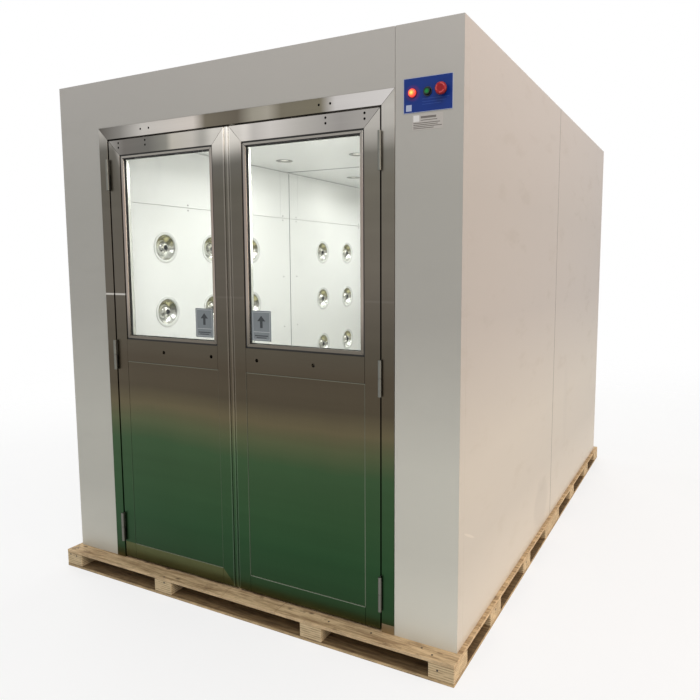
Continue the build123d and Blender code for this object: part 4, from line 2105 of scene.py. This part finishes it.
@dataclass
class Pallets:
    """Two plywood pallets and their nails."""

    finishes: Finishes
    deck_z: float = 0.078
    deck_nails: tuple[tuple[float, float], ...] = (
        (0.828, -1.404),
        (0.876, -1.425),
        (0.628, -1.405),
        (0.452, -1.412),
        (-0.357, -1.441),
        (-0.930, -1.420),
    )
    face_nails: tuple[tuple[float, float], ...] = (
        (-0.945, 0.058),
        (-0.905, 0.056),
        (-0.350, 0.058),
        (0.905, 0.044),
    )
    side_nails: tuple[tuple[float, float], ...] = ((-0.995, 0.050), (-0.530, 0.046))
    half_length: float = 1.449
    half_width: float = 0.966
    nail_radius: float = 0.004
    nail_depth: float = 0.004
    nail_proud: float = 0.0006
    nail_rounding: float = 0.0005
    board_rounding: float = 0.0008
    block_rounding: float = 0.0012

    def dress(self) -> None:
        """Gives deck, blocks and boards their plywood."""
        nodes = frame["nodes"]
        for name, finish in (("pallet_decks", self.finishes.deck), ("pallet_boards", self.finishes.shaded_board)):
            dress(nodes[name], finish)
            round_edges(nodes[name], self.board_rounding, 1)
        dress(nodes["pallet_blocks"], self.finishes.block)
        round_edges(nodes["pallet_blocks"], self.block_rounding, 1)

    def nail_places(self) -> list[Matrix]:
        """Nails in the deck's strips outside the cabin and in the outer block faces.

        Returns:
            Their placing matrices.
        """
        places = []
        for sign, face in ((1, Turn.TO_FRONT), (-1, Turn.TO_REAR)):
            for x, y in self.deck_nails:
                places.append(Turn.UP.at((sign * x, sign * y, self.deck_z)))
            for x, z in self.face_nails:
                places.append(face.at((sign * x, -sign * self.half_length, z)))
            for y, z in self.side_nails:
                places.append(Turn.TO_RIGHT.at((self.half_width, sign * y, z)))
                places.append(Turn.TO_LEFT.at((-self.half_width, -sign * y, z)))
        return places

    def build(self) -> None:
        """Dresses the wood and sets the nails."""
        self.dress()
        piece = rod("nail", self.nail_radius, -self.nail_depth, self.nail_proud, 14)
        with editing(piece):
            pick_edges(lambda middle, along: middle.z > self.nail_proud - 0.0001)
            round_picked(self.nail_rounding, 2)
        nails = repeat(smooth(piece), "pallet_nails", self.nail_places())
        fit(nails, "cabinet", "polished_steel", self.finishes.nail)


@dataclass
class Studio:
    """Floor, lamps, world and camera."""

    target: Point = (0.0, 0.0, 1.05)
    floor_radius: float = 14.0
    floor_z: float = -0.0005
    camera_place: Point = (1.6752, -3.3334, 1.4060)
    camera_turn: Point = (math.pi / 2 - 0.106, 0.0, 0.4748)
    camera_lens: float = 32.97
    camera_shift: tuple[float, float] = (-0.0497, -0.0250)

    def build_floor(self) -> None:
        """Pale floor that fades into the white background."""
        deselect()
        bpy.ops.mesh.primitive_circle_add(
            vertices=96, radius=self.floor_radius, fill_type="NGON", location=(0.0, 0.0, self.floor_z)
        )
        floor = bpy.context.object
        floor.name = "studio_floor"
        settle(floor)
        shader = Shader("floor_finish")
        reach = shader.length(shader.x, shader.y)
        colour = shader.tinted((0.93, 0.93, 0.92, 1.0), 0.98 + shader.noise(2.0) * 0.03)
        sockets = {"Base Color": colour, "Roughness": 0.85, "Specular IOR Level": 0.1}
        pale = shader.node("ShaderNodeBsdfPrincipled", {}, sockets)
        white = shader.node("ShaderNodeEmission", {}, {0: (1.0, 1.0, 1.0, 1.0), 1: 1.0})
        lifted = shader.blend(shader.sharp_rays() * 0.72, pale.outputs[0], white.outputs[0])
        clear = shader.node("ShaderNodeBsdfTransparent")
        mixed = shader.blend(reach.fade(2.4, 7.0), lifted, clear.outputs[0])
        shader.node("ShaderNodeOutputMaterial", {}, {0: mixed})
        dress(floor, shader.material)

    def build_world(self) -> None:
        """Grey light for dull surfaces, white for the camera, metal and glass."""
        world = bpy.data.worlds.new("studio_world")
        bpy.context.scene.world = world
        world.use_nodes = True
        sky = NodeTree(world.node_tree)
        soft = sky.node("ShaderNodeBackground", {}, {0: (0.93, 0.96, 1.0, 1.0), 1: 0.42})
        white = sky.node("ShaderNodeBackground", {}, {0: (1.0, 1.0, 1.0, 1.0), 1: 1.0})
        mixed = sky.blend(sky.sharp_rays(), soft.outputs[0], white.outputs[0])
        sky.node("ShaderNodeOutputWorld", {}, {0: mixed})

    def lamp(self, name: str, place: Point, size: float, watts: float, tint: Point, target: Point) -> None:
        """Sets one round area lamp.

        Args:
            name: Its name.
            place: Where it stands.
            size: Its width across.
            watts: Its power.
            tint: Colour of its light.
            target: Point that it looks at.
        """
        data = bpy.data.lights.new(name, "AREA")
        data.shape, data.size, data.energy, data.color = "DISK", size, watts, tint
        lamp = bpy.data.objects.new(name, data)
        bpy.context.collection.objects.link(lamp)
        lamp.location = place
        lamp.rotation_euler = (Vector(target) - Vector(place)).to_track_quat("-Z", "Y").to_euler()
        lamp.visible_camera = False

    def build_lamps(self) -> None:
        """Soft lamps round the cabin, six small ones under its ceiling and soft ones inside it."""
        self.lamp("key", (6.3, -1.4, 2.6), 4.0, 172.0, (1.0, 0.77, 0.60), self.target)
        self.lamp("front", (2.5, -4.4, 5.2), 3.0, 118.0, (0.98, 0.98, 1.0), (0.3, -1.4, 1.2))
        self.lamp("left", (-6.0, 1.5, 4.0), 4.0, 150.0, (1.0, 0.98, 0.95), self.target)
        self.lamp("rear", (-1.0, 6.5, 4.0), 4.0, 150.0, (1.0, 0.98, 0.96), self.target)
        for x in (-CeilingLamps.spread, 0.0, CeilingLamps.spread):
            for y in (-CeilingLamps.from_joint, CeilingLamps.from_joint):
                self.lamp("cabin_lamp", (x, y, 1.962), 0.07, 0.55, (1.0, 1.0, 0.96), (x, y, 0.0))
        for y in (-0.7, 0.7):
            self.lamp("cabin_glow", (0.0, y, 1.88), 0.9, 6.2, (1.0, 1.0, 0.98), (0.0, y, 0.0))
            self.lamp("cabin_fill", (0.0, y, 0.30), 0.9, 2.9, (1.0, 1.0, 0.97), (0.0, y, 2.0))
        self.lamp("cabin_left", (0.25, -1.0, 1.65), 0.5, 1.2, (1.0, 1.0, 0.98), (-0.707, -0.9, 1.65))

    def build_camera(self) -> None:
        """Camera at the picture's viewing angle."""
        data = bpy.data.cameras.new("camera")
        camera = bpy.data.objects.new("camera", data)
        bpy.context.collection.objects.link(camera)
        camera.location = self.camera_place
        camera.rotation_euler = self.camera_turn
        data.sensor_width = 36.0
        data.lens = self.camera_lens
        data.shift_x, data.shift_y = self.camera_shift
        data.clip_start, data.clip_end = 0.05, 100.0
        bpy.context.scene.camera = camera

    def build(self) -> None:
        """Builds the whole studio."""
        self.build_floor()
        self.build_world()
        self.build_lamps()
        self.build_camera()
        bpy.context.scene.view_settings.view_transform = "Standard"
        log.info("studio built")


def main() -> None:
    """Builds every sub-assembly in order."""
    studio = Studio()
    studio.build()
    finishes = Finishes()
    Shell(finishes).dress()
    for end in End:
        Casing(finishes, end).dress()
        for side in Side:
            DoorLeaf(finishes, end, side).build()
    for side in Side:
        NozzleWall(finishes, side).build()
    WallScrews(finishes).build()
    CeilingLamps(finishes).build()
    ControlPanel(finishes).build()
    Pallets(finishes).build()


if __name__ == "__main__":
    main()
